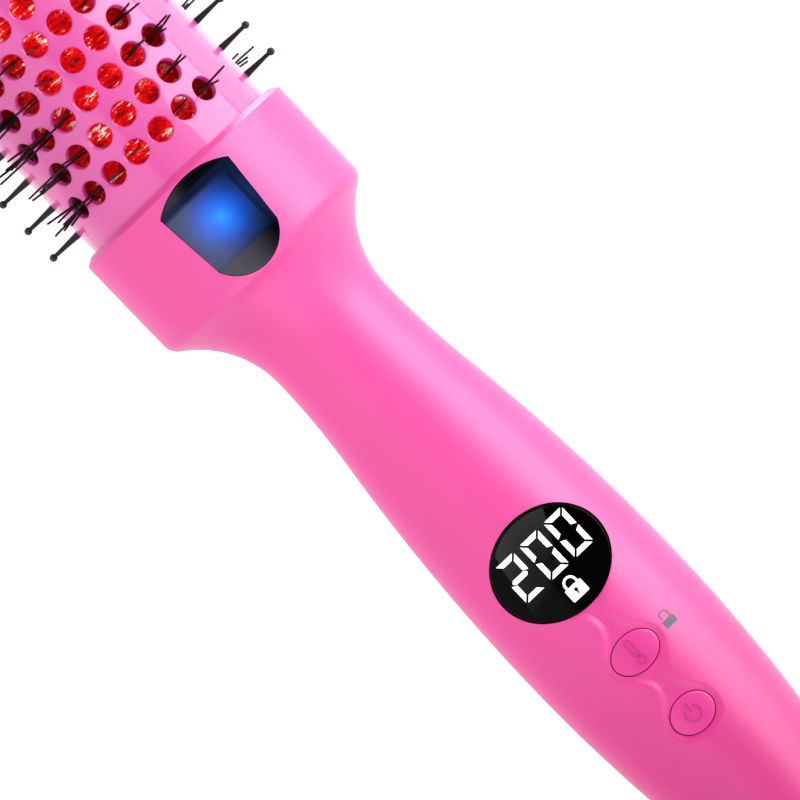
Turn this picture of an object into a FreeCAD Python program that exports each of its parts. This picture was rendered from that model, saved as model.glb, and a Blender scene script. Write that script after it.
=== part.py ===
import FreeCAD, Part
import math
import os
from FreeCAD import Vector

# Heated round brush.  Millimetres.  The brush's axis is X: the mouth of the cord inlet is at x = 0
# and the tip of the brush head is at the far end.  +Z points out of the display's side.
# A "station" is a distance along the axis, counted back from the front face of the collar.
# An angle round the head is 0 at +Z and grows towards -Y.

# ---- head ----
COVER_R = 21.0  # outside of the perforated cover
COVER_WALL = 1.0
COVER_DEPTH = 4.0  # how far cover and barrel reach into the collar
BARREL_GAP = 2.8  # from the heated barrel to the inside of the cover
BARREL_WALL = 1.5
RING_COUNT = 11
RING_PITCH = 6.6
FIRST_RING = 7.9  # from the collar's face to the first ring of holes
HOLE_R = 2.15
COLUMN_COUNT = 22  # angular positions round the head
FIRST_COLUMN = 3  # the first and last columns of holes, counted from the middle of a strip
LAST_COLUMN = 9
STRIP_HALF_ANGLE = 19.5  # degrees, the plain strip that each row of pins stands in
SEAM = 0.1  # gap between cover and strip

# ---- bristles and pins ----
BRISTLE_REACH = 29.4  # radius of the bristles' tips
BRISTLE_R = 0.34
BRISTLE_COUNT = 2  # bristles in a tuft
TUFT_R = 0.5  # the bristles' feet stand on this circle
BRISTLE_LEAN = 10.0  # degrees
BRISTLE_SEAT = 0.1
TUFT_TURN = 0.7  # radians from one tuft to the next
PIN_PROUD = 6.75  # ball end of a pin above the cover
PIN_FOOT_R = 0.73
PIN_NECK_R = 0.38
PIN_BALL_R = 0.75
PIN_NECK_JOIN = 0.9  # share of the ball's radius, from its middle down to the neck
PIN_CROWN = 0.45  # share of the ball's radius, the flat on its top
PIN_HOLE_GAP = 0.15
RAIL_WIDTH = 6.0
RAIL_GAP = 0.25  # rail to barrel and rail to cover

# ---- inside the barrel ----
HUB_FLANGE = 2.5
HUB_WALL = 5.7  # from the barrel's inside to the hub's bore
HUB_SEAT = 1.0  # the hub's ring under the cover, beyond the collar's face
HUB_PLUG = 3.0  # the hub's plug in the barrel, beyond the collar's face
HUB_NOTCH_SHARE = 0.6  # of the strip's half angle, the hub's notch for the rail of the pins
CORE_FRONT = 3.5  # from the collar's face towards the tip
CORE_REAR_INSET = 8.0
CORE_GAP = 0.1
HEATER_HALF = 2.1
HEATER_EDGE = 5.7  # from the barrel's inside to the heater's side
HEATER_FRONT = 12.0
HEATER_REAR_INSET = 12.0
SPRING_INSET = 4.0  # from the heater's ends
SPRING_EDGE = 1.6  # from the heater's sides
SPRING_BOW = 2.0
SPRING_THICK = 0.5
SENSOR_FRONT = 5.0
SENSOR_SIDE = 5.0
FUSE_FRONT = 4.5
FUSE_LENGTH = 7.0
LEAD_R = 0.9
LEAD_Y = 4.6
LEAD_BEND_R = 3.0
LEAD_BEND_STEPS = 3
LEAD_CLEARANCE = 1.0  # from a lead to the sensor and to the fuse
LEAD_INSET = 0.2  # from the board's front edge

# ---- collar and handle, outside ----
HANDLE_LENGTH = 188.0
COLLAR_CHAMFER = 1.6
CHAMFER_LENGTH = 1.0
COLLAR_LIP = 0.8
COVER_CLEARANCE = 0.3  # cover to collar
COLLAR_LENGTH = 20.7
SHOULDER_R = 3.2
FLANK_ANGLE = 56.7  # degrees, the slope behind the shoulder
NECK_R = 13.2
GRIP_R = 17.9
GRIP_TO_TAIL = 77.0
NECK_CURVE_SHARE = 0.27  # the hollow curve's share of the two curves from neck to grip
TAIL_CURVE_R = 300.0
TAIL_ANGLE = 7.5  # degrees, slope of the cone that ends the handle
TAIL_ROUND = 3.5
HOUSING_WALL = 2.2
OUTLINE_RUNS = (2, 4, 2, 3, 3, 3)  # straight runs in each arc of the outline, shoulder to tail
COLLAR_WALL = 1.7

# ---- window and lamp ----
WINDOW_FRONT = 1.3
WINDOW_SHOULDER = 4.0  # station of the front corners
WINDOW_FRONT_HALF = 8.35
WINDOW_REAR_CORNER = 18.1
WINDOW_REAR_HALF = 7.1
WINDOW_REAR = 22.7
WINDOW_THICK = 1.0
WINDOW_BOW_POINTS = 7
WINDOW_END_POINTS = 9
LENS_GAP = 0.1
LEDGE = 1.0
CHAMBER_FRONT = 7.0
CHAMBER_REAR = 17.6
CHAMBER_HALF = 7.6
CHAMBER_DEPTH = 8.5  # from the collar's inner wall to the underside of the floor
CHAMBER_WALL = 1.0
LED_R = 1.5
LED_HEIGHT = 4.0
LED_DOME = ((0.0, 1.0), (0.65, 1.0), (0.88, 0.75), (1.0, 0.3))  # shares of its height and radius
LAMP_BOARD_INSET = 0.5
LAMP_BOARD_THICK = 1.0

# ---- ion generator ----
GENERATOR_FRONT = 9.5
GENERATOR_REAR = 20.7
GENERATOR_HALF = 8.0
GENERATOR_HEIGHT = 8.0
SHELF_HEIGHT = 6.5  # of the two ribs it stands on
SHELF_Y = 5.0
RIB_THICK = 1.6
RIB_ROOT = 0.5  # how deep ribs are let into the wall
HUB_RIB_HEIGHT = 3.0

# ---- display, buttons and board ----
DISPLAY_BEFORE_GRIP = 14.1
DISPLAY_LONG = 10.2  # semi-axis along the handle
DISPLAY_WIDE = 11.6  # semi-axis across it
DISPLAY_THICK = 1.2
DISPLAY_SIDE_GAP = 0.4
TEMP_BUTTON_AFTER_GRIP = 8.0
TEMP_BUTTON_LONG = 3.73
TEMP_BUTTON_WIDE = 4.98
BUTTON_PITCH = 15.0
POWER_BUTTON_LONG = 3.73
POWER_BUTTON_WIDE = 4.44
BUTTON_GAP = 0.2
BUTTON_TRAVEL = 0.6
BUTTON_FLANGE = 1.0
FLANGE_THICK = 1.2
RECESS_DEPTH = 0.45
RECESS_BORDER = 0.95
RECESS_WAIST = 1.6  # half width between the buttons
WAIST_POINTS = 6
WAIST_JOIN = 0.9  # share of a button's border, where a waist meets it
FLARE_LONG = 0.75  # shares of the display's half axes, where the track flares into it
FLARE_WIDE = 0.62
BOARD_DEPTH = 11.3  # from the grip's surface to the board's top
BOARD_THICK = 1.6
BOARD_EDGE = 0.5  # from the housing's inner wall to the board's edge
BOARD_BEFORE_DISPLAY = 18.9
BOARD_AFTER_BUTTONS = 18.0
SWITCH_SIDE = 6.0
SWITCH_HEIGHT = 3.5
PLUNGER_R = 1.5
PLUNGER_GAP = 0.1
PLUNGER_PROUD = 1.0
PLUNGER_DEEP = 1.2
PLUNGER_FLOOR = 0.3  # left under the plunger at full travel
FLANGE_GAP = 0.2  # button flange to the wall above it
RELAY = (34.0, 16.0, 10.0, 9.0)  # place behind the board's front edge, length, width, height
CAPACITOR = (21.0, 9.0, 9.0, 8.0)
TRIAC = (56.0, 8.0, 8.0, 3.0)

# ---- screws ----
SCREW_R = 1.3
SCREW_HEAD_R = 2.4
SCREW_HEAD = 1.6
SCREW_BITE = 7.0
BOSS_R = 3.4
SCREW_GAP = 0.04
SCREW_HEAD_GAP = 0.15
SCREW_SEAT = 4.0  # under the neck's inner wall
SLOT_HALF = 0.4
SLOT_DEPTH = 0.7
NECK_SCREWS_BEFORE_BOARD = (22.0, 8.0)
TAIL_SCREW_TO_TAIL = 26.0
BOARD_SCREW_INSET = 4.5
BOARD_BOSS_R = 2.2
BOARD_BOSS_EDGE = 0.4
BOARD_SCREW_R = 1.0
BOARD_SCREW_BITE = 4.4
BOARD_SCREW_HEAD_R = 1.9
BOARD_SCREW_HEAD = 1.3

# ---- cord swivel ----
GLAND_PROUD = 9.0
GLAND_R = 6.2
GLAND_TAPER = 0.8
GLAND_SIDES = 20
GLAND_NECK_R = 4.9
GLAND_RUN = 0.08  # radial running clearance in the tail wall
GLAND_FLANGE_R = 6.6
GLAND_FLANGE = 2.0
GLAND_END_PLAY = 0.2
CORD_BORE_R = 3.25
CORD_BORE_DEPTH = 12.0
TAIL_WALL = 2.6
CONTACT_R = 1.2
CONTACT_REACH = 8.0
CONTACT_HOLE_R = 3.5  # in the rib that the pin passes through
CONTACT_BLOCK = 4.0
CONTACT_BLOCK_GAP = 1.0
CONTACT_BLOCK_HALF = 3.0
CONTACT_BLOCK_LOW = 5.0  # from the axis down to the block's pad

# ---- tip ----
TIP_LENGTH = 15.0
TIP_ROUND = 10.0
TIP_ROUND_STEPS = 3
TIP_WALL = 2.5  # round the hub's pocket
TIP_HUB_FLANGE = 2.5
TIP_SPIGOT = 7.0  # the hub's plug in the barrel
TIP_SCREW_BITE = 5.0
TIP_COUNTERBORE = 4.0

# ---- worked out ----
COLLAR_R = COVER_R + COVER_CLEARANCE + COLLAR_LIP + COLLAR_CHAMFER
COLLAR_BORE_R = COVER_R + COVER_CLEARANCE
COLLAR_CAVITY_R = COLLAR_R - COLLAR_WALL
COVER_INNER_R = COVER_R - COVER_WALL
BARREL_R = COVER_INNER_R - BARREL_GAP
BARREL_INNER_R = BARREL_R - BARREL_WALL
HUB_BORE_R = BARREL_INNER_R - HUB_WALL
HEATER_WIDE = 2 * (BARREL_INNER_R - HEATER_EDGE)
SENSOR_Y = LEAD_Y + LEAD_R + LEAD_CLEARANCE
FUSE_Y = -(LEAD_Y + LEAD_R + LEAD_CLEARANCE + HEATER_HALF)
TIP_HUB_R = COVER_R - TIP_WALL
CHAMBER_FLOOR_Z = COLLAR_CAVITY_R - CHAMBER_DEPTH
GENERATOR_LOW_Z = SHELF_HEIGHT - COLLAR_CAVITY_R
GENERATOR_TOP_Z = GENERATOR_LOW_Z + GENERATOR_HEIGHT
GRIP_STATION = HANDLE_LENGTH - GRIP_TO_TAIL
DISPLAY_STATION = GRIP_STATION - DISPLAY_BEFORE_GRIP
TEMP_BUTTON_STATION = GRIP_STATION + TEMP_BUTTON_AFTER_GRIP
POWER_BUTTON_STATION = TEMP_BUTTON_STATION + BUTTON_PITCH
BOARD_TOP_Z = GRIP_R - BOARD_DEPTH
BOARD_FRONT = DISPLAY_STATION - BOARD_BEFORE_DISPLAY
BOARD_REAR = POWER_BUTTON_STATION + BOARD_AFTER_BUTTONS
HOUSING_SCREW_STATIONS = [BOARD_FRONT - gap for gap in NECK_SCREWS_BEFORE_BOARD]
HOUSING_SCREW_STATIONS.append(HANDLE_LENGTH - TAIL_SCREW_TO_TAIL)
COLLAR_X = GLAND_PROUD + HANDLE_LENGTH
HEAD_LENGTH = 2 * FIRST_RING + (RING_COUNT - 1) * RING_PITCH
HEAD_X = COLLAR_X + HEAD_LENGTH
COLUMN_ANGLE = 360.0 / COLUMN_COUNT
FLATS = 2 * COLUMN_COUNT  # flats round the head and the handle, one for each half column
CAVITY_SIDES = COLUMN_COUNT
FAR = 400.0  # longer than the brush, for cutting tools
OVAL_SIDES = 24


def station(distance):
    """x of a place that lies this far behind the collar's front face."""
    return COLLAR_X - distance


def polar(x, radius, angle):
    """A point round the head: angle in degrees from +Z towards -Y."""
    turn = math.radians(angle)
    return Vector(x, -radius * math.sin(turn), radius * math.cos(turn))


def box(x0, x1, y0, y1, z0, z1):
    return Part.makeBox(x1 - x0, y1 - y0, z1 - z0, Vector(x0, y0, z0))


def rod_x(x0, x1, radius, y=0.0, z=0.0):
    return Part.makeCylinder(radius, x1 - x0, Vector(x0, y, z), Vector(1, 0, 0))


def tube(x0, x1, outer, inner):
    return rod_x(x0, x1, outer).cut(rod_x(x0 - 1, x1 + 1, inner))


def oval(x, y, long, wide, z0, z1, sides=OVAL_SIDES):
    """An upright many-sided prism on an ellipse, long along X and wide along Y."""
    turns = [2 * math.pi * i / sides for i in range(sides)]
    edge = [(x + long * math.cos(turn), y + wide * math.sin(turn)) for turn in turns]
    return faceted([[Vector(along, across, z) for along, across in edge] for z in (z0, z1)])


def closed_wire(corners):
    return Part.makePolygon(corners + corners[:1])


def ring_of(centre, first, second, radius, sides, spin=0.0):
    """Corners of a regular polygon in the plane of two unit vectors."""
    turns = [2 * math.pi * (i + spin) / sides for i in range(sides)]
    return [centre + first * (radius * math.cos(t)) + second * (radius * math.sin(t)) for t in turns]


def radial_ring(x, angle, height, radius, sides, spin=0.0):
    """A polygon that lies square to the radial direction, at this height above the axis."""
    sideways = polar(0, 1, angle).cross(Vector(1, 0, 0))
    return ring_of(polar(x, height, angle), Vector(1, 0, 0), sideways, radius, sides, spin)


def faceted(rings):
    """A solid of flat faces through a stack of like polygons."""
    faces = [Part.Face(closed_wire(rings[0])), Part.Face(closed_wire(rings[-1]))]
    sides = len(rings[0])
    for low, high in zip(rings, rings[1:]):
        for i in range(sides):
            j = (i + 1) % sides
            faces.append(Part.Face(closed_wire([low[i], low[j], high[j], high[i]])))
    return Part.makeSolid(Part.makeShell(faces))


def sided_x(steps, sides, inside=False):
    """A many-sided bar along X through (x, radius) steps; inside=True measures radius to the flats."""
    grow = 1 / math.cos(math.pi / sides) if inside else 1.0
    across, up = Vector(0, 1, 0), Vector(0, 0, 1)
    return faceted([ring_of(Vector(x, 0, 0), across, up, radius * grow, sides) for x, radius in steps])


def sided_z(x, y, z0, z1, radius, sides=8, inside=False):
    """A many-sided upright bar."""
    grow = 1 / math.cos(math.pi / sides) if inside else 1.0
    rings = [ring_of(Vector(x, y, z), Vector(1, 0, 0), Vector(0, 1, 0), radius * grow, sides, 0.5)
             for z in (z0, z1)]
    return faceted(rings)


# ---------------------------------------------------------------- housing outline

def offset_point(distance, radius, slope, depth):
    """A point of the outline as (station, radius), moved inwards, square to a line of this slope."""
    turn = math.radians(slope)
    return distance + depth * math.sin(turn), radius - depth * math.cos(turn)


def handle_knots():
    """Joints of the outline from the shoulder to the tail as (station, radius, slope in degrees)."""
    flank = math.radians(FLANK_ANGLE)
    start = COLLAR_LENGTH + SHOULDER_R * math.sin(flank)
    start_r = COLLAR_R - SHOULDER_R * (1 - math.cos(flank))
    flank_r = (start_r - NECK_R) / (1 - math.cos(flank))
    neck = start + flank_r * math.sin(flank)
    swell = 2 * math.atan((GRIP_R - NECK_R) / (GRIP_STATION - neck))
    radii = (GRIP_STATION - neck) / math.sin(swell)
    hollow_r = NECK_CURVE_SHARE * radii
    turn = neck + hollow_r * math.sin(swell)
    turn_r = NECK_R + hollow_r * (1 - math.cos(swell))
    tail = math.radians(TAIL_ANGLE)
    cone = GRIP_STATION + TAIL_CURVE_R * math.sin(tail)
    cone_r = GRIP_R - TAIL_CURVE_R * (1 - math.cos(tail))
    end = HANDLE_LENGTH - TAIL_ROUND * (1 - math.sin(tail))
    end_r = cone_r - (end - cone) * math.tan(tail)
    return {
        "shoulder": (start, start_r, -FLANK_ANGLE), "neck": (neck, NECK_R, 0.0),
        "turn": (turn, turn_r, math.degrees(swell)), "grip": (GRIP_STATION, GRIP_R, 0.0),
        "cone": (cone, cone_r, -TAIL_ANGLE), "end": (end, end_r, -TAIL_ANGLE),
        "curves": (flank_r, hollow_r, radii - hollow_r)}


def outline_radius(distance):
    """Outside radius of the housing at a station behind the neck."""
    knots = handle_knots()
    hollow_r, swell_r = knots["curves"][1:]
    if distance < knots["turn"][0]:
        along = distance - knots["neck"][0]
        return NECK_R + hollow_r - math.sqrt(hollow_r ** 2 - along ** 2)
    along = distance - GRIP_STATION
    if distance < GRIP_STATION:
        return GRIP_R - swell_r + math.sqrt(swell_r ** 2 - along ** 2)
    if distance < knots["cone"][0]:
        return GRIP_R - TAIL_CURVE_R + math.sqrt(TAIL_CURVE_R ** 2 - along ** 2)
    return knots["cone"][1] - (distance - knots["cone"][0]) * math.tan(math.radians(TAIL_ANGLE))


def arc_run(centre, radius, first, last, steps):
    """Points of an arc between two slopes of the outline, in degrees; negative radius for a hollow."""
    run = []
    for i in range(steps + 1):
        turn = math.radians(first + (last - first) * i / steps)
        run.append((centre[0] - radius * math.sin(turn), centre[1] + radius * math.cos(turn)))
    return run


def housing_outline(depth):
    """The housing's outline, moved inwards by depth, as (station, radius), collar to tail."""
    knots = handle_knots()
    flank_r, hollow_r, swell_r = knots["curves"]
    neck, slope = knots["neck"][0], knots["turn"][2]
    end, end_r = knots["end"][:2]
    tail = math.radians(TAIL_ANGLE)
    round_centre = (end - TAIL_ROUND * math.sin(tail), end_r - TAIL_ROUND * math.cos(tail))
    arcs = [((COLLAR_LENGTH, COLLAR_R - SHOULDER_R), SHOULDER_R, 0, -FLANK_ANGLE),
            ((neck, NECK_R + flank_r), -flank_r, -FLANK_ANGLE, 0),
            ((neck, NECK_R + hollow_r), -hollow_r, 0, slope),
            ((GRIP_STATION, GRIP_R - swell_r), swell_r, slope, 0),
            ((GRIP_STATION, GRIP_R - TAIL_CURVE_R), TAIL_CURVE_R, 0, -TAIL_ANGLE),
            (round_centre, TAIL_ROUND, -TAIL_ANGLE, -90)]
    outline = [(depth, COLLAR_R - COLLAR_CHAMFER - depth / 2),
               (CHAMFER_LENGTH + depth / 2, COLLAR_R - depth)]
    for i, (centre, radius, first, last) in enumerate(arcs):
        run = arc_run(centre, radius - depth, first, last, OUTLINE_RUNS[i])
        outline += run[1:] if 0 < i < len(arcs) - 1 else run
    return outline


def along_axis(outline, sides=FLATS):
    """A many-sided solid through (station, radius) steps."""
    return sided_x([(station(distance), radius) for distance, radius in outline], sides)


def housing_body(depth):
    """The housing as one solid, moved inwards by depth."""
    return along_axis(housing_outline(depth))


def cavity_outline():
    """The hollow of the handle as (station, radius), in straight lines inside the outline."""
    knots = handle_knots()
    flank = (knots["shoulder"][0] + knots["neck"][0]) / 2
    swell = (knots["turn"][0] + GRIP_STATION) / 2
    tail = (GRIP_STATION + knots["cone"][0]) / 2
    inner_tail = COLLAR_X - GLAND_PROUD - TAIL_WALL
    outline = [(COVER_DEPTH - SEAM, COLLAR_CAVITY_R), (COLLAR_LENGTH, COLLAR_CAVITY_R)]
    outline += [offset_point(*knots["shoulder"], HOUSING_WALL)]
    outline += [offset_point(flank, flank_radius(flank), -FLANK_ANGLE / 2, HOUSING_WALL)]
    outline += [offset_point(*knots[name], HOUSING_WALL) for name in ("neck", "turn")]
    outline += [offset_point(swell, outline_radius(swell), 0.0, HOUSING_WALL)]
    outline += [offset_point(*knots["grip"], HOUSING_WALL)]
    outline += [offset_point(tail, outline_radius(tail), 0.0, HOUSING_WALL)]
    outline += [offset_point(*knots["cone"], HOUSING_WALL)]
    return outline + [(inner_tail, offset_point(*knots["end"], HOUSING_WALL)[1])]


def inner_radius(distance):
    """Distance from the axis to the flats of the hollow at a station."""
    outline = cavity_outline()
    for (start, start_r), (end, end_r) in zip(outline, outline[1:]):
        if distance <= end:
            radius = start_r + (end_r - start_r) * (distance - start) / (end - start)
            return radius * math.cos(math.pi / CAVITY_SIDES)
    return 0.0


def cavity():
    """The hollow of the handle and the bore of the collar."""
    bore = along_axis([(-1, COLLAR_BORE_R), (COVER_DEPTH - SEAM, COLLAR_BORE_R)])
    return along_axis(cavity_outline(), CAVITY_SIDES).fuse(bore)


def flank_radius(distance):
    """Outside radius of the hollow curve between shoulder and neck."""
    neck, neck_r = handle_knots()["neck"][:2]
    flank_r = handle_knots()["curves"][0]
    return neck_r + flank_r - math.sqrt(flank_r ** 2 - (neck - distance) ** 2)


def tail_inner_r():
    """Radius of the hollow at the tail."""
    return cavity_outline()[-1][1]


# ---------------------------------------------------------------- outlines seen from above

def window_outline(margin):
    """Corners of the window's shield shape: a bowed front, converging sides and a round rear."""
    front = Vector(station(WINDOW_FRONT - margin), 0, 0)
    rear = Vector(station(WINDOW_REAR + margin), 0, 0)
    front_x, front_half = station(WINDOW_SHOULDER), WINDOW_FRONT_HALF + margin
    rear_x, rear_half = station(WINDOW_REAR_CORNER), WINDOW_REAR_HALF + margin
    bow = Part.Arc(Vector(front_x, front_half, 0), front, Vector(front_x, -front_half, 0))
    end = Part.Arc(Vector(rear_x, -rear_half, 0), rear, Vector(rear_x, rear_half, 0))
    return bow.discretize(Number=WINDOW_BOW_POINTS) + end.discretize(Number=WINDOW_END_POINTS)


def window_prism(margin):
    return Part.Face(closed_wire(window_outline(margin))).extrude(Vector(0, 0, FAR))


def waist(x0, half0, x1, half1):
    """A prism between two ovals whose sides curve in to the recess's waist."""
    corners = (Vector(x0, half0, 0), Vector((x0 + x1) / 2, RECESS_WAIST, 0), Vector(x1, half1, 0))
    side = Part.Arc(*corners).discretize(Number=WAIST_POINTS)
    other = [Vector(point.x, -point.y, 0) for point in reversed(side)]
    return Part.Face(closed_wire(side + other)).extrude(Vector(0, 0, FAR))


def recess_prism():
    """The sunken track that joins the display and the two buttons."""
    temp_x, power_x = station(TEMP_BUTTON_STATION), station(POWER_BUTTON_STATION)
    temp_wide = TEMP_BUTTON_WIDE + RECESS_BORDER
    power_wide = POWER_BUTTON_WIDE + RECESS_BORDER
    track = oval(temp_x, 0, TEMP_BUTTON_LONG + RECESS_BORDER, temp_wide, 0, FAR)
    track = track.fuse(oval(power_x, 0, POWER_BUTTON_LONG + RECESS_BORDER, power_wide, 0, FAR))
    flare_x = station(DISPLAY_STATION + FLARE_LONG * DISPLAY_LONG)
    track = track.fuse(waist(flare_x, FLARE_WIDE * DISPLAY_WIDE, temp_x, WAIST_JOIN * temp_wide))
    return track.fuse(waist(temp_x, WAIST_JOIN * temp_wide, power_x, WAIST_JOIN * power_wide))


# ---------------------------------------------------------------- screws and bosses

def screw_seat_z():
    """Height of the faces that the heads of the housing screws bear on."""
    return -(NECK_R - HOUSING_WALL - SCREW_SEAT)


def board_half():
    """Half the board's width: as wide as the housing lets it be at its narrower end."""
    inner = min(inner_radius(BOARD_FRONT), inner_radius(BOARD_REAR))
    return math.sqrt(inner ** 2 - BOARD_TOP_Z ** 2) - BOARD_EDGE


def board_screw_places():
    front = station(BOARD_FRONT + BOARD_SCREW_INSET)
    rear = station(BOARD_REAR - BOARD_SCREW_INSET)
    side = board_half() - BOARD_BOSS_R - BOARD_BOSS_EDGE
    return [(x, y) for x in (front, rear) for y in (-side, side)]


def contact_mount_x():
    """x of the inner face of the swivel's flange."""
    return GLAND_PROUD + TAIL_WALL + GLAND_END_PLAY + GLAND_FLANGE


def contact_block_x():
    """x of the near face of the fixed socket round the swivel's pin."""
    return contact_mount_x() + GLAND_END_PLAY + RIB_THICK + CONTACT_BLOCK_GAP


# ---------------------------------------------------------------- housing halves

def half_space(upper):
    return box(-FAR, FAR, -FAR, FAR, 0, FAR) if upper else box(-FAR, FAR, -FAR, FAR, -FAR, 0)


def swivel_bore():
    """The tail wall's hole for the gland's neck."""
    return rod_x(0, GLAND_PROUD + TAIL_WALL + 1, GLAND_NECK_R + GLAND_RUN)


def swivel_rib():
    """The wall inside the tail that traps the gland's flange."""
    x = contact_mount_x() + GLAND_END_PLAY
    return tube(x, x + RIB_THICK, tail_inner_r() + RIB_THICK, CONTACT_HOLE_R)


def hub_rib():
    """The inner rib that the barrel's hub is seated against."""
    front = COVER_DEPTH + HUB_FLANGE + 2 * SEAM
    rear = front + RIB_THICK
    root = COLLAR_CAVITY_R + RIB_ROOT
    inner = COLLAR_CAVITY_R - HUB_RIB_HEIGHT
    ring = along_axis([(front, root), (rear, root)], CAVITY_SIDES)
    return ring.cut(along_axis([(front - 1, inner), (rear + 1, inner)], CAVITY_SIDES))


def front_housing():
    shell = housing_body(0.0).cut(cavity()).common(half_space(True))
    beside_lamp = CHAMBER_HALF + RIB_THICK
    ribs = swivel_rib().fuse(hub_rib().cut(box(-FAR, FAR, -beside_lamp, beside_lamp, 0, FAR)))
    ribs = ribs.common(half_space(True))
    for place in HOUSING_SCREW_STATIONS:
        ribs = ribs.fuse(sided_z(station(place), 0, 0, outline_radius(place), BOSS_R))
    shell = shell.fuse(ribs.common(housing_body(HOUSING_WALL / 2)))
    for place in HOUSING_SCREW_STATIONS:
        shell = shell.cut(sided_z(station(place), 0, -1, SCREW_BITE + 1, SCREW_R + SCREW_GAP))
    shell = shell.cut(recess_prism().cut(housing_body(RECESS_DEPTH)))
    shell = shell.cut(window_prism(LENS_GAP).cut(housing_body(WINDOW_THICK + LENS_GAP)))
    shell = shell.cut(window_prism(-LEDGE))
    x = station(DISPLAY_STATION)
    seat = oval(x, 0, DISPLAY_LONG + LENS_GAP, DISPLAY_WIDE + LENS_GAP, 0, FAR)
    shell = shell.cut(seat.cut(housing_body(DISPLAY_THICK + LENS_GAP)))
    shell = shell.cut(oval(x, 0, DISPLAY_LONG - LEDGE, DISPLAY_WIDE - LEDGE, 0, FAR))
    for place, long, wide in button_sizes():
        shell = shell.cut(oval(station(place), 0, long + BUTTON_GAP, wide + BUTTON_GAP, BUTTON_GAP, FAR))
    return shell.cut(swivel_bore())


def rear_housing():
    shell = housing_body(0.0).cut(cavity()).common(half_space(False))
    ribs = swivel_rib().fuse(hub_rib()).common(half_space(False))
    for place in HOUSING_SCREW_STATIONS:
        ribs = ribs.fuse(sided_z(station(place), 0, -outline_radius(place), 0, BOSS_R))
    for y in (-SHELF_Y, SHELF_Y):
        low_y, high_y = y - RIB_THICK / 2, y + RIB_THICK / 2
        ribs = ribs.fuse(box(station(GENERATOR_REAR), station(GENERATOR_FRONT), low_y, high_y,
                             -COLLAR_R, GENERATOR_LOW_Z))
    block_x = contact_block_x()
    ribs = ribs.fuse(box(block_x, block_x + CONTACT_BLOCK, -CONTACT_BLOCK_HALF, CONTACT_BLOCK_HALF,
                         -COLLAR_R, -CONTACT_BLOCK_LOW))
    under = BOARD_TOP_Z - BOARD_THICK
    for x, y in board_screw_places():
        ribs = ribs.fuse(sided_z(x, y, -COLLAR_R, 0, BOARD_BOSS_R, 6))
    shell = shell.fuse(ribs.common(housing_body(HOUSING_WALL / 2)))
    for x, y in board_screw_places():
        shell = shell.fuse(sided_z(x, y, -1, under, BOARD_BOSS_R, 6))
        shell = shell.cut(sided_z(x, y, -1, under + 1, BOARD_SCREW_R + SCREW_GAP, 6))
    for place in HOUSING_SCREW_STATIONS:
        x = station(place)
        shell = shell.cut(sided_z(x, 0, -FAR, 1, SCREW_R + 2 * SCREW_GAP))
        shell = shell.cut(sided_z(x, 0, -FAR, screw_seat_z(), SCREW_HEAD_R + SCREW_HEAD_GAP, 12))
    return shell.cut(swivel_bore())


# ---------------------------------------------------------------- window, lamp and ion generator

def ion_window():
    plate = window_prism(0.0).common(housing_body(0.0))
    return plate.cut(housing_body(WINDOW_THICK))


def lamp_chamber():
    """A tray whose walls rise to the wall round the window, with the lamp's hole in its floor."""
    x0, x1 = station(CHAMBER_REAR), station(CHAMBER_FRONT)
    half, wall = CHAMBER_HALF, CHAMBER_WALL
    rim = COLLAR_CAVITY_R - LENS_GAP / 2
    tray = box(x0, x1, -half, half, CHAMBER_FLOOR_Z, FAR)
    tray = tray.common(along_axis([(CHAMBER_FRONT - 1, rim), (CHAMBER_REAR + 1, rim)], CAVITY_SIDES))
    tray = tray.cut(box(x0 + wall, x1 - wall, wall - half, half - wall, CHAMBER_FLOOR_Z + wall, FAR))
    return tray.cut(sided_z(lamp_x(), 0, 0, CHAMBER_FLOOR_Z + wall + 1, LED_R + LENS_GAP))


def lamp_x():
    return (station(CHAMBER_REAR) + station(CHAMBER_FRONT)) / 2


def status_lamp():
    """A round-nosed lamp that stands on its board and looks up through the tray's floor."""
    return faceted([ring_of(Vector(lamp_x(), 0, CHAMBER_FLOOR_Z + LED_HEIGHT * rise), Vector(1, 0, 0),
                            Vector(0, 1, 0), LED_R * share, 8, 0.5) for rise, share in LED_DOME])


def lamp_board():
    """The small board that carries the lamp, face to face with the tray's floor."""
    inset = LAMP_BOARD_INSET
    half = CHAMBER_HALF - inset
    return box(station(CHAMBER_REAR) + inset, station(CHAMBER_FRONT) - inset, -half, half,
               CHAMBER_FLOOR_Z - LAMP_BOARD_THICK, CHAMBER_FLOOR_Z)


def ion_generator():
    return box(station(GENERATOR_REAR), station(GENERATOR_FRONT), -GENERATOR_HALF, GENERATOR_HALF,
               GENERATOR_LOW_Z, GENERATOR_TOP_Z)


# ---------------------------------------------------------------- display and buttons

def button_sizes():
    return [(TEMP_BUTTON_STATION, TEMP_BUTTON_LONG, TEMP_BUTTON_WIDE),
            (POWER_BUTTON_STATION, POWER_BUTTON_LONG, POWER_BUTTON_WIDE)]


def display_lens():
    plate = oval(station(DISPLAY_STATION), 0, DISPLAY_LONG, DISPLAY_WIDE, 0, FAR)
    return plate.common(housing_body(0.0)).cut(housing_body(DISPLAY_THICK))


def display_module():
    """The light box of the figures, from the board up to the lens."""
    long = DISPLAY_LONG - LEDGE - DISPLAY_SIDE_GAP
    wide = DISPLAY_WIDE - LEDGE - DISPLAY_SIDE_GAP
    under_lens = (outline_radius(DISPLAY_STATION - long) - DISPLAY_THICK) * math.cos(math.pi / FLATS)
    top = math.sqrt((under_lens - LENS_GAP / 2) ** 2 - wide ** 2)
    return oval(station(DISPLAY_STATION), 0, long, wide, BOARD_TOP_Z, top, 12)


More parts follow.
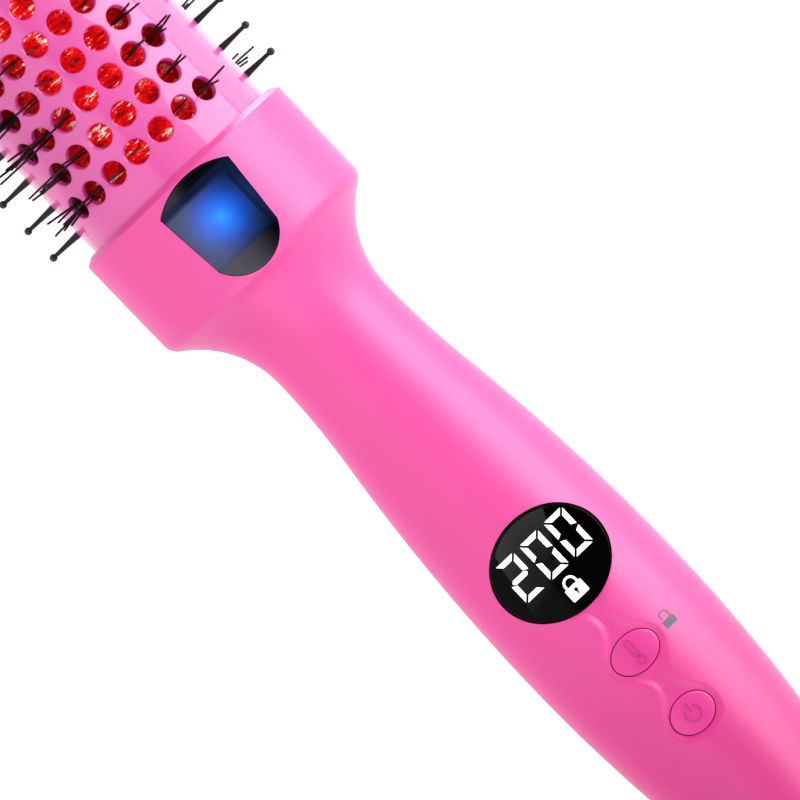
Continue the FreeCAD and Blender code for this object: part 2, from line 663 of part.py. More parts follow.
def flange_top(place, long, wide):
    """Height of the inner wall over the flange's corners, less a small gap."""
    inner = min(inner_radius(place - long - BUTTON_FLANGE), inner_radius(place + long + BUTTON_FLANGE))
    return math.sqrt(inner ** 2 - wide ** 2) - FLANGE_GAP


def switch_top():
    return BOARD_TOP_Z + SWITCH_HEIGHT


def button(place, long, wide):
    """An oval cap with a retaining flange under the wall and a stem on the switch's plunger."""
    x = station(place)
    top = flange_top(place, long, wide)
    low = top - FLANGE_THICK
    cap = oval(x, 0, long, wide, low, FAR).common(housing_body(RECESS_DEPTH / 2))
    cap = cap.fuse(box(x - long - BUTTON_FLANGE, x + long + BUTTON_FLANGE, -wide, wide, low, top))
    half = PLUNGER_R
    return cap.fuse(box(x - half, x + half, -half, half, switch_top() + PLUNGER_PROUD, low))


def switch_body(place):
    x = station(place)
    half = SWITCH_SIDE / 2
    body = box(x - half, x + half, -half, half, BOARD_TOP_Z, switch_top())
    well = PLUNGER_R + PLUNGER_GAP
    floor = switch_top() - PLUNGER_DEEP - BUTTON_TRAVEL - PLUNGER_FLOOR
    return body.cut(box(x - well, x + well, -well, well, floor, FAR))


def switch_plunger(place):
    x = station(place)
    return box(x - PLUNGER_R, x + PLUNGER_R, -PLUNGER_R, PLUNGER_R,
               switch_top() - PLUNGER_DEEP, switch_top() + PLUNGER_PROUD)


def main_board():
    half = board_half()
    under = BOARD_TOP_Z - BOARD_THICK
    board = box(station(BOARD_REAR), station(BOARD_FRONT), -half, half, under, BOARD_TOP_Z)
    for x, y in board_screw_places():
        board = board.cut(sided_z(x, y, 0, FAR, BOARD_SCREW_R + 2 * SCREW_GAP, 6))
    return board


def power_parts():
    """Relay, capacitor and triac on the underside of the board."""
    under = BOARD_TOP_Z - BOARD_THICK
    blocks = []
    for place, length, width, height in (RELAY, CAPACITOR, TRIAC):
        x = station(BOARD_FRONT + place + length)
        blocks.append(box(x, x + length, -width / 2, width / 2, under - height, under))
    return Part.makeCompound(blocks)


# ---------------------------------------------------------------- screws

def housing_screw(place):
    x = station(place)
    low = screw_seat_z() - SCREW_HEAD
    head = sided_z(x, 0, low, screw_seat_z(), SCREW_HEAD_R, 8)
    slot = box(x - SCREW_HEAD_R, x + SCREW_HEAD_R, -SLOT_HALF, SLOT_HALF, low - 1, low + SLOT_DEPTH)
    return head.cut(slot).fuse(sided_z(x, 0, screw_seat_z(), SCREW_BITE, SCREW_R))


def board_screw(x, y):
    tip = BOARD_TOP_Z - BOARD_THICK - BOARD_SCREW_BITE
    head = sided_z(x, y, BOARD_TOP_Z, BOARD_TOP_Z + BOARD_SCREW_HEAD, BOARD_SCREW_HEAD_R, 6)
    return head.fuse(sided_z(x, y, tip, BOARD_TOP_Z, BOARD_SCREW_R, 6))


# ---------------------------------------------------------------- cord swivel

def cord_gland():
    """The turning sleeve that the cord is moulded into: sleeve, neck and the flange that traps it."""
    neck_x = GLAND_PROUD - GLAND_END_PLAY
    flange_x = GLAND_PROUD + TAIL_WALL + GLAND_END_PLAY
    parts = [((0, GLAND_R - GLAND_TAPER), (neck_x, GLAND_R)),
             ((neck_x, GLAND_NECK_R), (flange_x, GLAND_NECK_R)),
             ((flange_x, GLAND_FLANGE_R), (contact_mount_x(), GLAND_FLANGE_R))]
    sleeve, neck, flange = [sided_x(steps, GLAND_SIDES) for steps in parts]
    return sleeve.fuse(neck).fuse(flange).cut(rod_x(-1, CORD_BORE_DEPTH, CORD_BORE_R))


def contact_pin():
    """The brass pin on the gland's axis that carries the current through the swivel."""
    x = contact_mount_x()
    return sided_x([(x, CONTACT_R), (x + CONTACT_REACH, CONTACT_R)], 8)


def contact_block():
    """The fixed socket round the swivel's pin, standing on a pad of the rear housing."""
    x, half = contact_block_x(), CONTACT_BLOCK_HALF
    block = box(x, x + CONTACT_BLOCK, -half, half, -CONTACT_BLOCK_LOW, half)
    return block.cut(rod_x(x - 1, x + CONTACT_BLOCK + 1, CONTACT_R + GLAND_RUN))


# ---------------------------------------------------------------- head

def hole_places():
    """(x, angle) of every hole of the front cover; odd rings are shifted by half a column."""
    places = []
    for ring in range(RING_COUNT):
        x = COLLAR_X + FIRST_RING + ring * RING_PITCH
        shift = (ring % 2) / 2
        for column in range(FIRST_COLUMN, LAST_COLUMN + 1 - ring % 2):
            places.append((x, 90 - (column + shift) * COLUMN_ANGLE))
    return places


def sector(x0, x1, radius, middle, half_angle):
    """A wedge of a disc about the axis, to cut an arc out of a tube."""
    corner_a = polar(x0, radius, middle - half_angle)
    crown = polar(x0, radius, middle)
    corner_b = polar(x0, radius, middle + half_angle)
    edges = [Part.LineSegment(Vector(x0, 0, 0), corner_a), Part.Arc(corner_a, crown, corner_b),
             Part.LineSegment(corner_b, Vector(x0, 0, 0))]
    face = Part.Face(Part.Wire([edge.toShape() for edge in edges]))
    return face.extrude(Vector(x1 - x0, 0, 0))


def flat_tube(x0, x1, outer, inner):
    """A tube with a flat for each half column, so that the columns of holes lie on its edges."""
    body = sided_x([(x0, outer), (x1, outer)], FLATS)
    return body.cut(sided_x([(x0 - 1, inner), (x1 + 1, inner)], FLATS))


def punch(x, angle, radius):
    """A six-sided tool through the cover's wall, square to the surface."""
    heights = (COVER_INNER_R - 1, COVER_R + 1)
    return faceted([radial_ring(x, angle, height, radius, 6) for height in heights])


def cover_half(middle):
    """A perforated half shell; each hole is six-sided and square to the surface."""
    x0, x1 = station(COVER_DEPTH), HEAD_X
    half_angle = 90 - STRIP_HALF_ANGLE - math.degrees(SEAM / COVER_R)
    wedge = sector(x0, x1, 2 * COVER_R, middle, half_angle)
    arc = flat_tube(x0, x1, COVER_R, COVER_INNER_R).common(wedge)
    punches = []
    for x, angle in hole_places():
        punches.append(punch(x, angle + middle, HOLE_R))
    return arc.cut(Part.makeCompound(punches))


def pin_places():
    return [COLLAR_X + FIRST_RING + (i - 0.5) * RING_PITCH for i in range(RING_COUNT + 1)]


def side_strip(middle):
    """The plain strip between the cover halves, with a window for each pin."""
    x0, x1 = station(COVER_DEPTH), HEAD_X
    wedge = sector(x0, x1, 2 * COVER_R, middle, STRIP_HALF_ANGLE)
    arc = flat_tube(x0, x1, COVER_R, COVER_INNER_R).common(wedge)
    windows = []
    for x in pin_places():
        windows.append(punch(x, middle, PIN_FOOT_R + PIN_HOLE_GAP))
    return arc.cut(Part.makeCompound(windows))


def pin_comb(middle):
    """A rail between barrel and strip, and the row of ball-ended pins that stand on it."""
    side = -1 if middle > 0 else 1
    low = BARREL_R + RAIL_GAP
    high = math.sqrt((COVER_INNER_R - RAIL_GAP) ** 2 - (RAIL_WIDTH / 2) ** 2)
    x0, x1 = station(COVER_DEPTH - 1), HEAD_X - 1
    y0, y1 = sorted((side * low, side * high))
    rail = box(x0, x1, y0, y1, -RAIL_WIDTH / 2, RAIL_WIDTH / 2)
    top = COVER_R + PIN_PROUD
    ball = top - PIN_BALL_R
    steps = [(high, PIN_FOOT_R), (ball - PIN_NECK_JOIN * PIN_BALL_R, PIN_NECK_R), (ball, PIN_BALL_R),
             (top, PIN_CROWN * PIN_BALL_R)]
    pins = []
    for x in pin_places():
        pins.append(faceted([radial_ring(x, middle, height, radius, 6) for height, radius in steps]))
    return Part.makeCompound([rail] + pins)


def bristle(x, angle, lean, turn):
    """One tapered bristle: a slender three-sided spike from the barrel out through its hole."""
    outward = polar(0, 1, angle)
    sideways = outward.cross(Vector(1, 0, 0))
    away = Vector(1, 0, 0) * math.cos(turn) + sideways * math.sin(turn)
    base = polar(x, BARREL_R + BRISTLE_SEAT, angle) + away * TUFT_R
    length = BRISTLE_REACH - BARREL_R
    tip = base + outward * length + away * (length * math.tan(math.radians(lean)))
    corners = ring_of(base, away, outward.cross(away), BRISTLE_R, 3)
    faces = [Part.Face(closed_wire(corners))]
    for i in range(3):
        faces.append(Part.Face(closed_wire([corners[i], corners[(i + 1) % 3], tip])))
    return Part.makeSolid(Part.makeShell(faces))


def tufts(middle):
    """The bristles of one half of the head; each tuft is turned a little from the one before it."""
    bristles = []
    for i, (x, angle) in enumerate(hole_places()):
        for k in range(BRISTLE_COUNT):
            turn = 2 * math.pi * k / BRISTLE_COUNT + TUFT_TURN * i
            bristles.append(bristle(x, angle + middle, BRISTLE_LEAN, turn))
    return Part.makeCompound(bristles)


def heated_barrel():
    return flat_tube(station(COVER_DEPTH), HEAD_X, BARREL_R, BARREL_INNER_R)


def heater_core(upper):
    """A half-round bar that presses the heater's warmth into the barrel."""
    radius = BARREL_INNER_R - CORE_GAP
    core = sided_x([(COLLAR_X + CORE_FRONT, radius), (HEAD_X - CORE_REAR_INSET, radius)], FLATS // 2)
    side = 1 if upper else -1
    z0, z1 = sorted((side * HEATER_HALF, side * FAR))
    return core.common(box(-FAR, FAR, -FAR, FAR, z0, z1))


def ptc_heater():
    return box(COLLAR_X + HEATER_FRONT, HEAD_X - HEATER_REAR_INSET, -HEATER_WIDE / 2, HEATER_WIDE / 2,
               -HEATER_HALF, HEATER_HALF)


def core_springs():
    """Two bowed strips that push the cores apart at their edges."""
    strips = []
    x0 = COLLAR_X + HEATER_FRONT + SPRING_INSET
    x1 = HEAD_X - HEATER_REAR_INSET - SPRING_INSET
    for side in (-1, 1):
        y = side * (HEATER_WIDE / 2 + SPRING_EDGE)
        thick, bow = side * SPRING_THICK, side * SPRING_BOW
        outline = [(y, -HEATER_HALF), (y + bow, 0), (y, HEATER_HALF), (y - thick, HEATER_HALF),
                   (y + bow - thick, 0), (y - thick, -HEATER_HALF)]
        face = Part.Face(closed_wire([Vector(x0, across, up) for across, up in outline]))
        strips.append(face.extrude(Vector(x1 - x0, 0, 0)))
    return Part.makeCompound(strips)


def temperature_sensor():
    x = COLLAR_X + SENSOR_FRONT
    return box(x, x + SENSOR_SIDE, SENSOR_Y, SENSOR_Y + SENSOR_SIDE, -HEATER_HALF, HEATER_HALF)


def thermal_fuse():
    """An eight-sided can pinched between the two cores."""
    x = COLLAR_X + FUSE_FRONT
    radius = HEATER_HALF / math.cos(math.pi / 8)
    return faceted([ring_of(Vector(place, FUSE_Y, 0), Vector(0, 1, 0), Vector(0, 0, 1), radius, 8, 0.5)
                    for place in (x, x + FUSE_LENGTH)])


def collar_hub():
    """The heat-resisting ring that holds barrel and cover in the collar."""
    x0 = station(COVER_DEPTH + HUB_FLANGE)
    x1 = station(COVER_DEPTH)
    sides = FLATS // 2
    outer = COLLAR_CAVITY_R - SEAM
    under_cover = COVER_INNER_R - SEAM
    over_barrel = BARREL_R + SEAM
    flange = sided_x([(x0, outer), (x1, outer)], sides)
    seat = sided_x([(x1, under_cover), (COLLAR_X + HUB_SEAT, under_cover)], sides)
    seat = seat.cut(sided_x([(x1 - 1, over_barrel), (COLLAR_X + HUB_SEAT + 1, over_barrel)], sides, True))
    for middle in (90, -90):
        notch = HUB_NOTCH_SHARE * STRIP_HALF_ANGLE
        seat = seat.cut(sector(x1, COLLAR_X + HUB_SEAT, COLLAR_R, middle, notch))
    plug_r = BARREL_INNER_R - SEAM
    plug = sided_x([(x1, plug_r), (COLLAR_X + HUB_PLUG, plug_r)], sides)
    bore = sided_x([(x0 - 1, HUB_BORE_R), (COLLAR_X + HUB_PLUG + 1, HUB_BORE_R)], 12)
    return flange.fuse(seat).fuse(plug).cut(bore)


def tip_hub():
    """The heat-resisting disc in the tip end of barrel and cover."""
    sides = FLATS // 2
    plug_r = BARREL_INNER_R - SEAM
    plug = sided_x([(HEAD_X - TIP_SPIGOT, plug_r), (HEAD_X, plug_r)], sides)
    flange = sided_x([(HEAD_X, TIP_HUB_R), (HEAD_X + TIP_HUB_FLANGE, TIP_HUB_R)], sides)
    pilot = SCREW_R + SCREW_GAP
    return plug.fuse(flange).cut(sided_x([(HEAD_X - TIP_SCREW_BITE - 1, pilot), (FAR, pilot)], 8))


def tip_cap():
    """The cool tip: a short barrel that rounds over to a flat nose, with a pocket for the hub."""
    x0, x1 = HEAD_X, HEAD_X + TIP_LENGTH
    steps = [(x0, COVER_R)]
    for i in range(TIP_ROUND_STEPS + 1):
        turn = math.pi / 2 * i / TIP_ROUND_STEPS
        steps.append((x1 - TIP_ROUND * (1 - math.sin(turn)), COVER_R - TIP_ROUND * (1 - math.cos(turn))))
    pocket = TIP_HUB_R + SEAM
    head = SCREW_HEAD_R + SEAM
    shank = SCREW_R + 2 * SCREW_GAP
    cap = sided_x(steps, FLATS)
    cap = cap.cut(sided_x([(x0 - 1, pocket), (x0 + TIP_HUB_FLANGE, pocket)], FLATS // 2))
    cap = cap.cut(sided_x([(x1 - TIP_COUNTERBORE, head), (x1 + 1, head)], 12))
    return cap.cut(sided_x([(x0 - 1, shank), (x1, shank)], 8))


def tip_screw():
    seat = HEAD_X + TIP_LENGTH - TIP_COUNTERBORE
    top = seat + SCREW_HEAD
    head = sided_x([(seat, SCREW_HEAD_R), (top, SCREW_HEAD_R)], 12)
    slot = box(top - SLOT_DEPTH, top + 1, -SCREW_HEAD_R, SCREW_HEAD_R, -SLOT_HALF, SLOT_HALF)
    return head.cut(slot).fuse(sided_x([(HEAD_X - TIP_SCREW_BITE, SCREW_R), (seat, SCREW_R)], 8))


def tip_plug():
    """The round stopper that hides the screw."""
    x1 = HEAD_X + TIP_LENGTH
    return sided_x([(x1 - TIP_COUNTERBORE + SCREW_HEAD, SCREW_HEAD_R), (x1, SCREW_HEAD_R)], 12)


# ---------------------------------------------------------------- inner leads

def heater_leads():
    """Two leads from the heater back through hub, collar and neck, then round a bend up to the board."""
    leads = []
    sideways = Vector(0, 1, 0)
    bend_x = station(BOARD_FRONT + LEAD_INSET + LEAD_R) + LEAD_BEND_R
    for y in (-LEAD_Y, LEAD_Y):
        rings = [ring_of(Vector(COLLAR_X + HEATER_FRONT, y, 0), sideways, Vector(0, 0, 1), LEAD_R, 6)]
        for step in range(LEAD_BEND_STEPS + 1):
            turn = math.pi / 2 * step / LEAD_BEND_STEPS
            inward = Vector(math.sin(turn), 0, math.cos(turn))
            centre = Vector(bend_x, y, LEAD_BEND_R) - inward * LEAD_BEND_R
            rings.append(ring_of(centre, sideways, inward, LEAD_R, 6))
        rings.append([Vector(corner.x, corner.y, BOARD_TOP_Z - BOARD_THICK) for corner in rings[-1]])
        leads.append(faceted(rings))
    return Part.makeCompound(leads)


def build():
    nodes = {
        "front_housing": front_housing(),
        "rear_housing": rear_housing(),
        "ion_window": ion_window(),
        "lamp_chamber": lamp_chamber(),
        "status_lamp": status_lamp(),
        "lamp_board": lamp_board(),
        "ion_generator": ion_generator(),
        "display_lens": display_lens(),
        "display_module": display_module(),
        "temperature_button": button(*button_sizes()[0]),
        "power_button": button(*button_sizes()[1]),
        "temperature_switch": switch_body(TEMP_BUTTON_STATION),
        "power_switch": switch_body(POWER_BUTTON_STATION),
        "temperature_plunger": switch_plunger(TEMP_BUTTON_STATION),
        "power_plunger": switch_plunger(POWER_BUTTON_STATION),
        "main_board": main_board(),
        "power_parts": power_parts(),
        "board_screws": Part.makeCompound([board_screw(x, y) for x, y in board_screw_places()]),
        "housing_screws": Part.makeCompound([housing_screw(place) for place in HOUSING_SCREW_STATIONS]),
        "cord_gland": cord_gland(),
        "contact_pin": contact_pin(),
        "contact_block": contact_block(),
        "cover_front": cover_half(0),
        "cover_rear": cover_half(180),
        "side_strip_right": side_strip(90),
        "side_strip_left": side_strip(-90),
        "pin_comb_right": pin_comb(90),
        "pin_comb_left": pin_comb(-90),
        "bristles_front": tufts(0),
        "bristles_rear": tufts(180),
        "heated_barrel": heated_barrel(),
        "heater_core_front": heater_core(True),
        "heater_core_rear": heater_core(False),
        "ptc_heater": ptc_heater(),
        "core_springs": core_springs(),
        "temperature_sensor": temperature_sensor(),
        "thermal_fuse": thermal_fuse(),
        "collar_hub": collar_hub(),
        "tip_hub": tip_hub(),
        "tip_cap": tip_cap(),
        "tip_screw": tip_screw(),
        "tip_plug": tip_plug(),
        "heater_leads": heater_leads(),
    }
    os.makedirs("parts", exist_ok=True)
    for name, shape in nodes.items():
        shape.exportStep("parts/" + name + ".step")


build()
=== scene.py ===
import random
from contextlib import contextmanager
from math import asin, atan, atan2, cos, degrees, hypot, pi, radians, sin, sqrt, tan

import bmesh
import bpy
import numpy as np
from mathutils import Matrix, Vector
from mathutils.geometry import tessellate_polygon


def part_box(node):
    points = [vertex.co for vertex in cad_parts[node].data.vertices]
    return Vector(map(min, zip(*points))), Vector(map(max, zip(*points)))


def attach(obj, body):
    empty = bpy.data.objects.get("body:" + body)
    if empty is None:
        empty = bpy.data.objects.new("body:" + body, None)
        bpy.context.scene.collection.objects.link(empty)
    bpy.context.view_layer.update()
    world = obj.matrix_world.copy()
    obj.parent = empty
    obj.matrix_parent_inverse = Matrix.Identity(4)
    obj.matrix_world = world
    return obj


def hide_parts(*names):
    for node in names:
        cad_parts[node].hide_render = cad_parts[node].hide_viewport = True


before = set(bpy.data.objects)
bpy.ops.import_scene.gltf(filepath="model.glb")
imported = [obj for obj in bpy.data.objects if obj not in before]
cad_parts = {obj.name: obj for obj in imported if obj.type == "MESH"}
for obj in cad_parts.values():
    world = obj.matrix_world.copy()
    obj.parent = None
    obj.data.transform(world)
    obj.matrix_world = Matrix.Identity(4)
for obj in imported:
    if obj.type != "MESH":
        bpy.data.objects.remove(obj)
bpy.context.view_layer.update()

# The brush's axis is X, the head is at +X and the display's side is +Z.  Lengths below are in
# millimetres and become metres in build_mesh.  A "station" is a distance behind the collar's face,
# and an angle round the brush is 0 at +Z and grows towards -Y.
MM = 0.001


def box_mm(name):
    low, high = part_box(name)
    return low / MM, high / MM


# ---- sizes from the frame
COLLAR_X = box_mm("front_housing")[1].x
TAIL_X = box_mm("front_housing")[0].x
COLLAR_R = box_mm("front_housing")[1].z
HEAD_X = box_mm("tip_cap")[0].x
TIP_X = box_mm("tip_cap")[1].x
COVER_R = box_mm("cover_front")[1].z
COVER_X = box_mm("cover_front")[0].x
BARREL_R = box_mm("heated_barrel")[1].z
PIN_TOP_R = box_mm("pin_comb_left")[1].y
HANDLE_LENGTH = COLLAR_X - TAIL_X
TUFT_Y = PIN_TOP_R - 0.4  # how far the filaments may reach sideways

# ---- sizes of the forms
COVER_WALL = 1.0
RING_COUNT, RING_PITCH, FIRST_RING = 11, 6.6, 7.9
COLUMN_ANGLE = 360.0 / 22
HOLE_R, HOLE_RIM = 2.35, 0.20
STRIP_HALF_ANGLE = 19.5
SEAM_ANGLE = 0.27
COLLAR_CHAMFER, CHAMFER_LENGTH, COLLAR_LENGTH, SHOULDER_R, FLANK_ANGLE = 1.6, 1.0, 20.7, 3.2, 56.7
COLLAR_TAPER = 0.15
NECK_R, GRIP_R, GRIP_STATION = 13.2, 17.9, 111.0
NECK_CURVE_SHARE = 0.27
TAIL_CURVE_R, TAIL_ANGLE, TAIL_ROUND = 300.0, 7.5, 3.5
WALL = 2.2
COLLAR_BORE_R, SWIVEL_BORE_R, TAIL_WALL = 21.3, 4.98, 2.6
DISPLAY = (96.9, 10.2, 11.6)  # station, half length, half width
TEMP_BUTTON = (119.0, 3.60, 4.88)
POWER_BUTTON = (134.0, 3.62, 4.38)
RECESS_DEPTH, RECESS_BORDER, RECESS_WAIST, RECESS_EDGE = 0.70, 0.5, 1.25, 0.72
RECESS_BLEND, RECESS_FLARE = 5.0, 5.0
DISPLAY_LAP, RECESS_START = -0.4, (4.0, 9.0)  # under the display's edge; from its middle, none to full
RECESS_SIDE = 0.3  # cosine of the angle up to which the recess reaches
EDGE_ROUND, OUTLINE_STEP = 0.35, 0.02  # the outline's edges are rounded over the first length
TAIL_END_SLOPE = -86  # degrees; almost square to the axis
SEAM_GROOVE, SEAM_HALF = 0.12, 0.16  # depth and half width of the parting line's groove
RING_COLUMNS = 7  # holes in a full ring of one cover half; the rings between have one less


# ---- the handle's outline
def arc_points(centre, radius, first, last, count):
    """Points of an arc between two slopes in degrees; a negative radius makes a hollow."""
    turn = np.radians(np.linspace(first, last, count))
    return np.stack([centre[0] - radius * np.sin(turn), centre[1] + radius * np.cos(turn)], 1)


def handle_outline():
    """(station, radius) along the housing, from the collar's face to the tail's end."""
    flank = radians(FLANK_ANGLE)
    start = COLLAR_LENGTH + SHOULDER_R * sin(flank)
    start_r = COLLAR_R - SHOULDER_R * (1 - cos(flank))
    flank_r = (start_r - NECK_R) / (1 - cos(flank))
    neck = start + flank_r * sin(flank)
    swell = 2 * atan((GRIP_R - NECK_R) / (GRIP_STATION - neck))
    swell_r = (GRIP_STATION - neck) / sin(swell)
    hollow_r = NECK_CURVE_SHARE * swell_r
    tail = radians(TAIL_ANGLE)
    cone = GRIP_STATION + TAIL_CURVE_R * sin(tail)
    cone_r = GRIP_R - TAIL_CURVE_R * (1 - cos(tail))
    end = HANDLE_LENGTH - TAIL_ROUND * (1 - sin(tail))
    end_r = cone_r - (end - cone) * tan(tail)
    round_centre = (end - TAIL_ROUND * sin(tail), end_r - TAIL_ROUND * cos(tail))
    slope = degrees(swell)
    points = np.concatenate([
        np.array([(0.0, COLLAR_R - COLLAR_CHAMFER), (CHAMFER_LENGTH, COLLAR_R)]),
        arc_points((COLLAR_LENGTH, COLLAR_R - SHOULDER_R), SHOULDER_R, 0, -FLANK_ANGLE, 40),
        arc_points((neck, NECK_R + flank_r), -flank_r, -FLANK_ANGLE, 0, 120),
        arc_points((neck, NECK_R + hollow_r), -hollow_r, 0, slope, 60),
        arc_points((GRIP_STATION, GRIP_R - swell_r + hollow_r), swell_r - hollow_r, slope, 0, 160),
        arc_points((GRIP_STATION, GRIP_R - TAIL_CURVE_R), TAIL_CURVE_R, 0, -TAIL_ANGLE, 120),
        arc_points(round_centre, TAIL_ROUND, -TAIL_ANGLE, TAIL_END_SLOPE, 40),
    ])
    stations = np.arange(0, HANDLE_LENGTH, OUTLINE_STEP)
    radii = np.interp(stations, points[:, 0], points[:, 1])
    taper = np.clip((stations - CHAMFER_LENGTH) / COLLAR_LENGTH, 0, 1)
    radii -= COLLAR_TAPER * taper * np.clip((neck - stations) / (neck - COLLAR_LENGTH), 0, 1)
    width = int(EDGE_ROUND / OUTLINE_STEP)
    smooth = np.convolve(radii, np.ones(width) / width, "same")
    radii[width:-width] = smooth[width:-width]
    return stations, radii


OUTLINE_S, OUTLINE_R = handle_outline()


def outline_r(station):
    return np.interp(station, OUTLINE_S, OUTLINE_R)


def smooth_step(value, low, high):
    share = np.clip((value - low) / (high - low), 0, 1)
    return share * share * (3 - 2 * share)


def oval_distance(station, across, oval, border=0.0):
    """Roughly the distance outside an oval, in millimetres."""
    middle, long, wide = oval
    reach = np.sqrt(((station - middle) / (long + border)) ** 2 + (across / (wide + border)) ** 2)
    return (reach - 1) * min(long + border, wide + border)


def blend_min(first, second, soft):
    mix = np.clip(0.5 + 0.5 * (second - first) / soft, 0, 1)
    return second * (1 - mix) + first * mix - soft * mix * (1 - mix)


def recess_depth(station, across):
    """Depth of the sunken track round the two buttons and up to the display."""
    track = np.maximum(np.abs(across) - RECESS_WAIST, DISPLAY[0] - station)
    track = np.maximum(track, station - POWER_BUTTON[0])
    away = blend_min(oval_distance(station, across, TEMP_BUTTON, RECESS_BORDER), track, RECESS_BLEND)
    away = blend_min(away, oval_distance(station, across, POWER_BUTTON, RECESS_BORDER), RECESS_BLEND)
    away = blend_min(away, oval_distance(station, across, DISPLAY, DISPLAY_LAP), RECESS_FLARE)
    fade = smooth_step(station - DISPLAY[0], *RECESS_START)
    return RECESS_DEPTH * fade * (1 - smooth_step(away, -RECESS_EDGE, RECESS_EDGE))


def surface_r(station, angle, front):
    """Radius of the housing's outer surface, with the recess and the parting line's fine groove."""
    radius = outline_r(station)
    if front:
        radius = radius - recess_depth(station, radius * np.sin(angle)) * (np.cos(angle) > RECESS_SIDE)
    edge = (pi / 2 - np.abs(angle)) * radius
    return radius - SEAM_GROOVE * (1 - smooth_step(edge, 0.0, SEAM_HALF))


def top_z(station, across, depth=0.0):
    """Height of the plain outline above a place seen from the display's side."""
    return np.sqrt(np.maximum((outline_r(station) - depth) ** 2 - across ** 2, 0.0))


# ---- mesh helpers
def placed(name, data):
    """A new object in the scene for a mesh, a lamp or a camera."""
    obj = bpy.data.objects.new(name, data)
    bpy.context.scene.collection.objects.link(obj)
    return obj


def build_mesh(name, verts, faces, unit=MM):
    mesh = bpy.data.meshes.new(name)
    mesh.from_pydata([tuple(c * unit for c in v) for v in verts], [], faces)
    mesh.validate()
    return placed(name, mesh)


@contextmanager
def edited(obj):
    """A piece's mesh, opened for editing and written back afterwards."""
    work = bmesh.new()
    work.from_mesh(obj.data)
    yield work
    work.to_mesh(obj.data)
    work.free()


def shade(obj, angle):
    """Shades smooth across edges up to an angle in degrees."""
    obj.data.shade_smooth()
    obj.data.set_sharp_from_angle(angle=radians(angle))
    return obj


def tidy_mesh(obj, merge=0.0, angle=35.0):
    """Welds, turns the faces outwards and shades smooth up to an angle."""
    with edited(obj) as work:
        if merge:
            bmesh.ops.remove_doubles(work, verts=work.verts, dist=merge * MM)
        bmesh.ops.recalc_face_normals(work, faces=work.faces)
    return shade(obj, angle)


def finish_piece(obj, material, slot, *nodes, body="handle"):
    obj.data.materials.clear()
    obj.data.materials.append(material)
    if nodes:
        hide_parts(*nodes)
    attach(obj, body)
    return obj


def ring_faces(low, high, count):
    """Quads between two closed rings of vertices that start at low and high."""
    return [(low + j, low + (j + 1) % count, high + (j + 1) % count, high + j) for j in range(count)]


def strip_faces(rows, columns, closed=False):
    """Quads of a grid whose vertices run column by column within each row."""
    faces = []
    for i in range(rows - 1):
        quads = ring_faces(i * columns, (i + 1) * columns, columns)
        faces += quads if closed else quads[:-1]
    return faces


def rod_faces(rings, count, base=0):
    """Quads round a rod whose rings of vertices start at base, and a cap at each end."""
    last = base + (rings - 1) * count
    faces = [tuple(range(base, base + count)), tuple(range(last, last + count))]
    for start in range(base, last, count):
        faces += ring_faces(start, start + count, count)
    return faces


def full_turn(count):
    return [2 * pi * i / count for i in range(count)]


def polar(x, radius, angle):
    return (x, -radius * sin(angle), radius * cos(angle))


def lathe(name, profile, segments=96, closed=False):
    """A piece turned about the brush's axis from (x, radius) points, capped or closed to a tube."""
    verts = [polar(x, radius, turn) for x, radius in profile for turn in full_turn(segments)]
    if closed:
        faces = strip_faces(len(profile), segments, True)
        faces += ring_faces(0, (len(profile) - 1) * segments, segments)
    else:
        faces = rod_faces(len(profile), segments)
    return build_mesh(name, verts, faces)


def joined(name, objects):
    """One object from several, in order."""
    first = objects[0]
    if len(objects) > 1:
        with bpy.context.temp_override(active_object=first, selected_editable_objects=objects):
            bpy.ops.object.join()
    first.name = name
    first.data.name = name
    return first


def cut(obj, cutters):
    """Cuts closed meshes out of a piece and deletes them."""
    tool = joined("cutter", cutters)
    modifier = obj.modifiers.new("cut", "BOOLEAN")
    modifier.operation = "DIFFERENCE"
    modifier.solver = "EXACT"
    modifier.object = tool
    graph = bpy.context.evaluated_depsgraph_get()
    mesh = bpy.data.meshes.new_from_object(obj.evaluated_get(graph))
    obj.modifiers.clear()
    obj.data = mesh
    bpy.data.objects.remove(tool)
    return obj


def prism(outline, low, high):
    """An upright closed prism over (station, across) points, for cutting; across grows towards -Y."""
    verts = [(COLLAR_X - s, -a, z) for z in (low, high) for s, a in outline]
    return tidy_mesh(build_mesh("prism", verts, rod_faces(2, len(outline))))


# ---- outlines of (station, across) points
def points_round(middle, radius, turns):
    """Points on a circle at the given angles in radians."""
    return [(middle[0] + radius * cos(t), middle[1] + radius * sin(t)) for t in turns]


def circle(middle, radius, steps=16):
    return points_round(middle, radius, full_turn(steps))


def oval_outline(oval, margin=0.0, count=96):
    middle, long, wide = oval
    long, wide = long + margin, wide + margin
    return [(middle + long * cos(t), wide * sin(t)) for t in full_turn(count)]


def rectangle(s0, s1, a0, a1):
    return [(s0, a0), (s1, a0), (s1, a1), (s0, a1)]


def round_box(s0, s1, a0, a1, radius, steps=5):
    """A rectangle with rounded corners."""
    corners = [(s1 - radius, a1 - radius), (s0 + radius, a1 - radius),
               (s0 + radius, a0 + radius), (s1 - radius, a0 + radius)]
    points = []
    for quarter, corner in enumerate(corners):
        turns = [radians(90 * quarter + 90 * i / steps) for i in range(steps + 1)]
        points += points_round(corner, radius, turns)
    return points


def arc_band(middle, radius, width, first, last, steps=20):
    """A band along an arc, angles in degrees from the tail's direction towards -Y."""
    turns = [radians(first + (last - first) * i / steps) for i in range(steps + 1)]
    outer = points_round(middle, radius + width / 2, turns)
    return outer + points_round(middle, radius - width / 2, turns)[::-1]


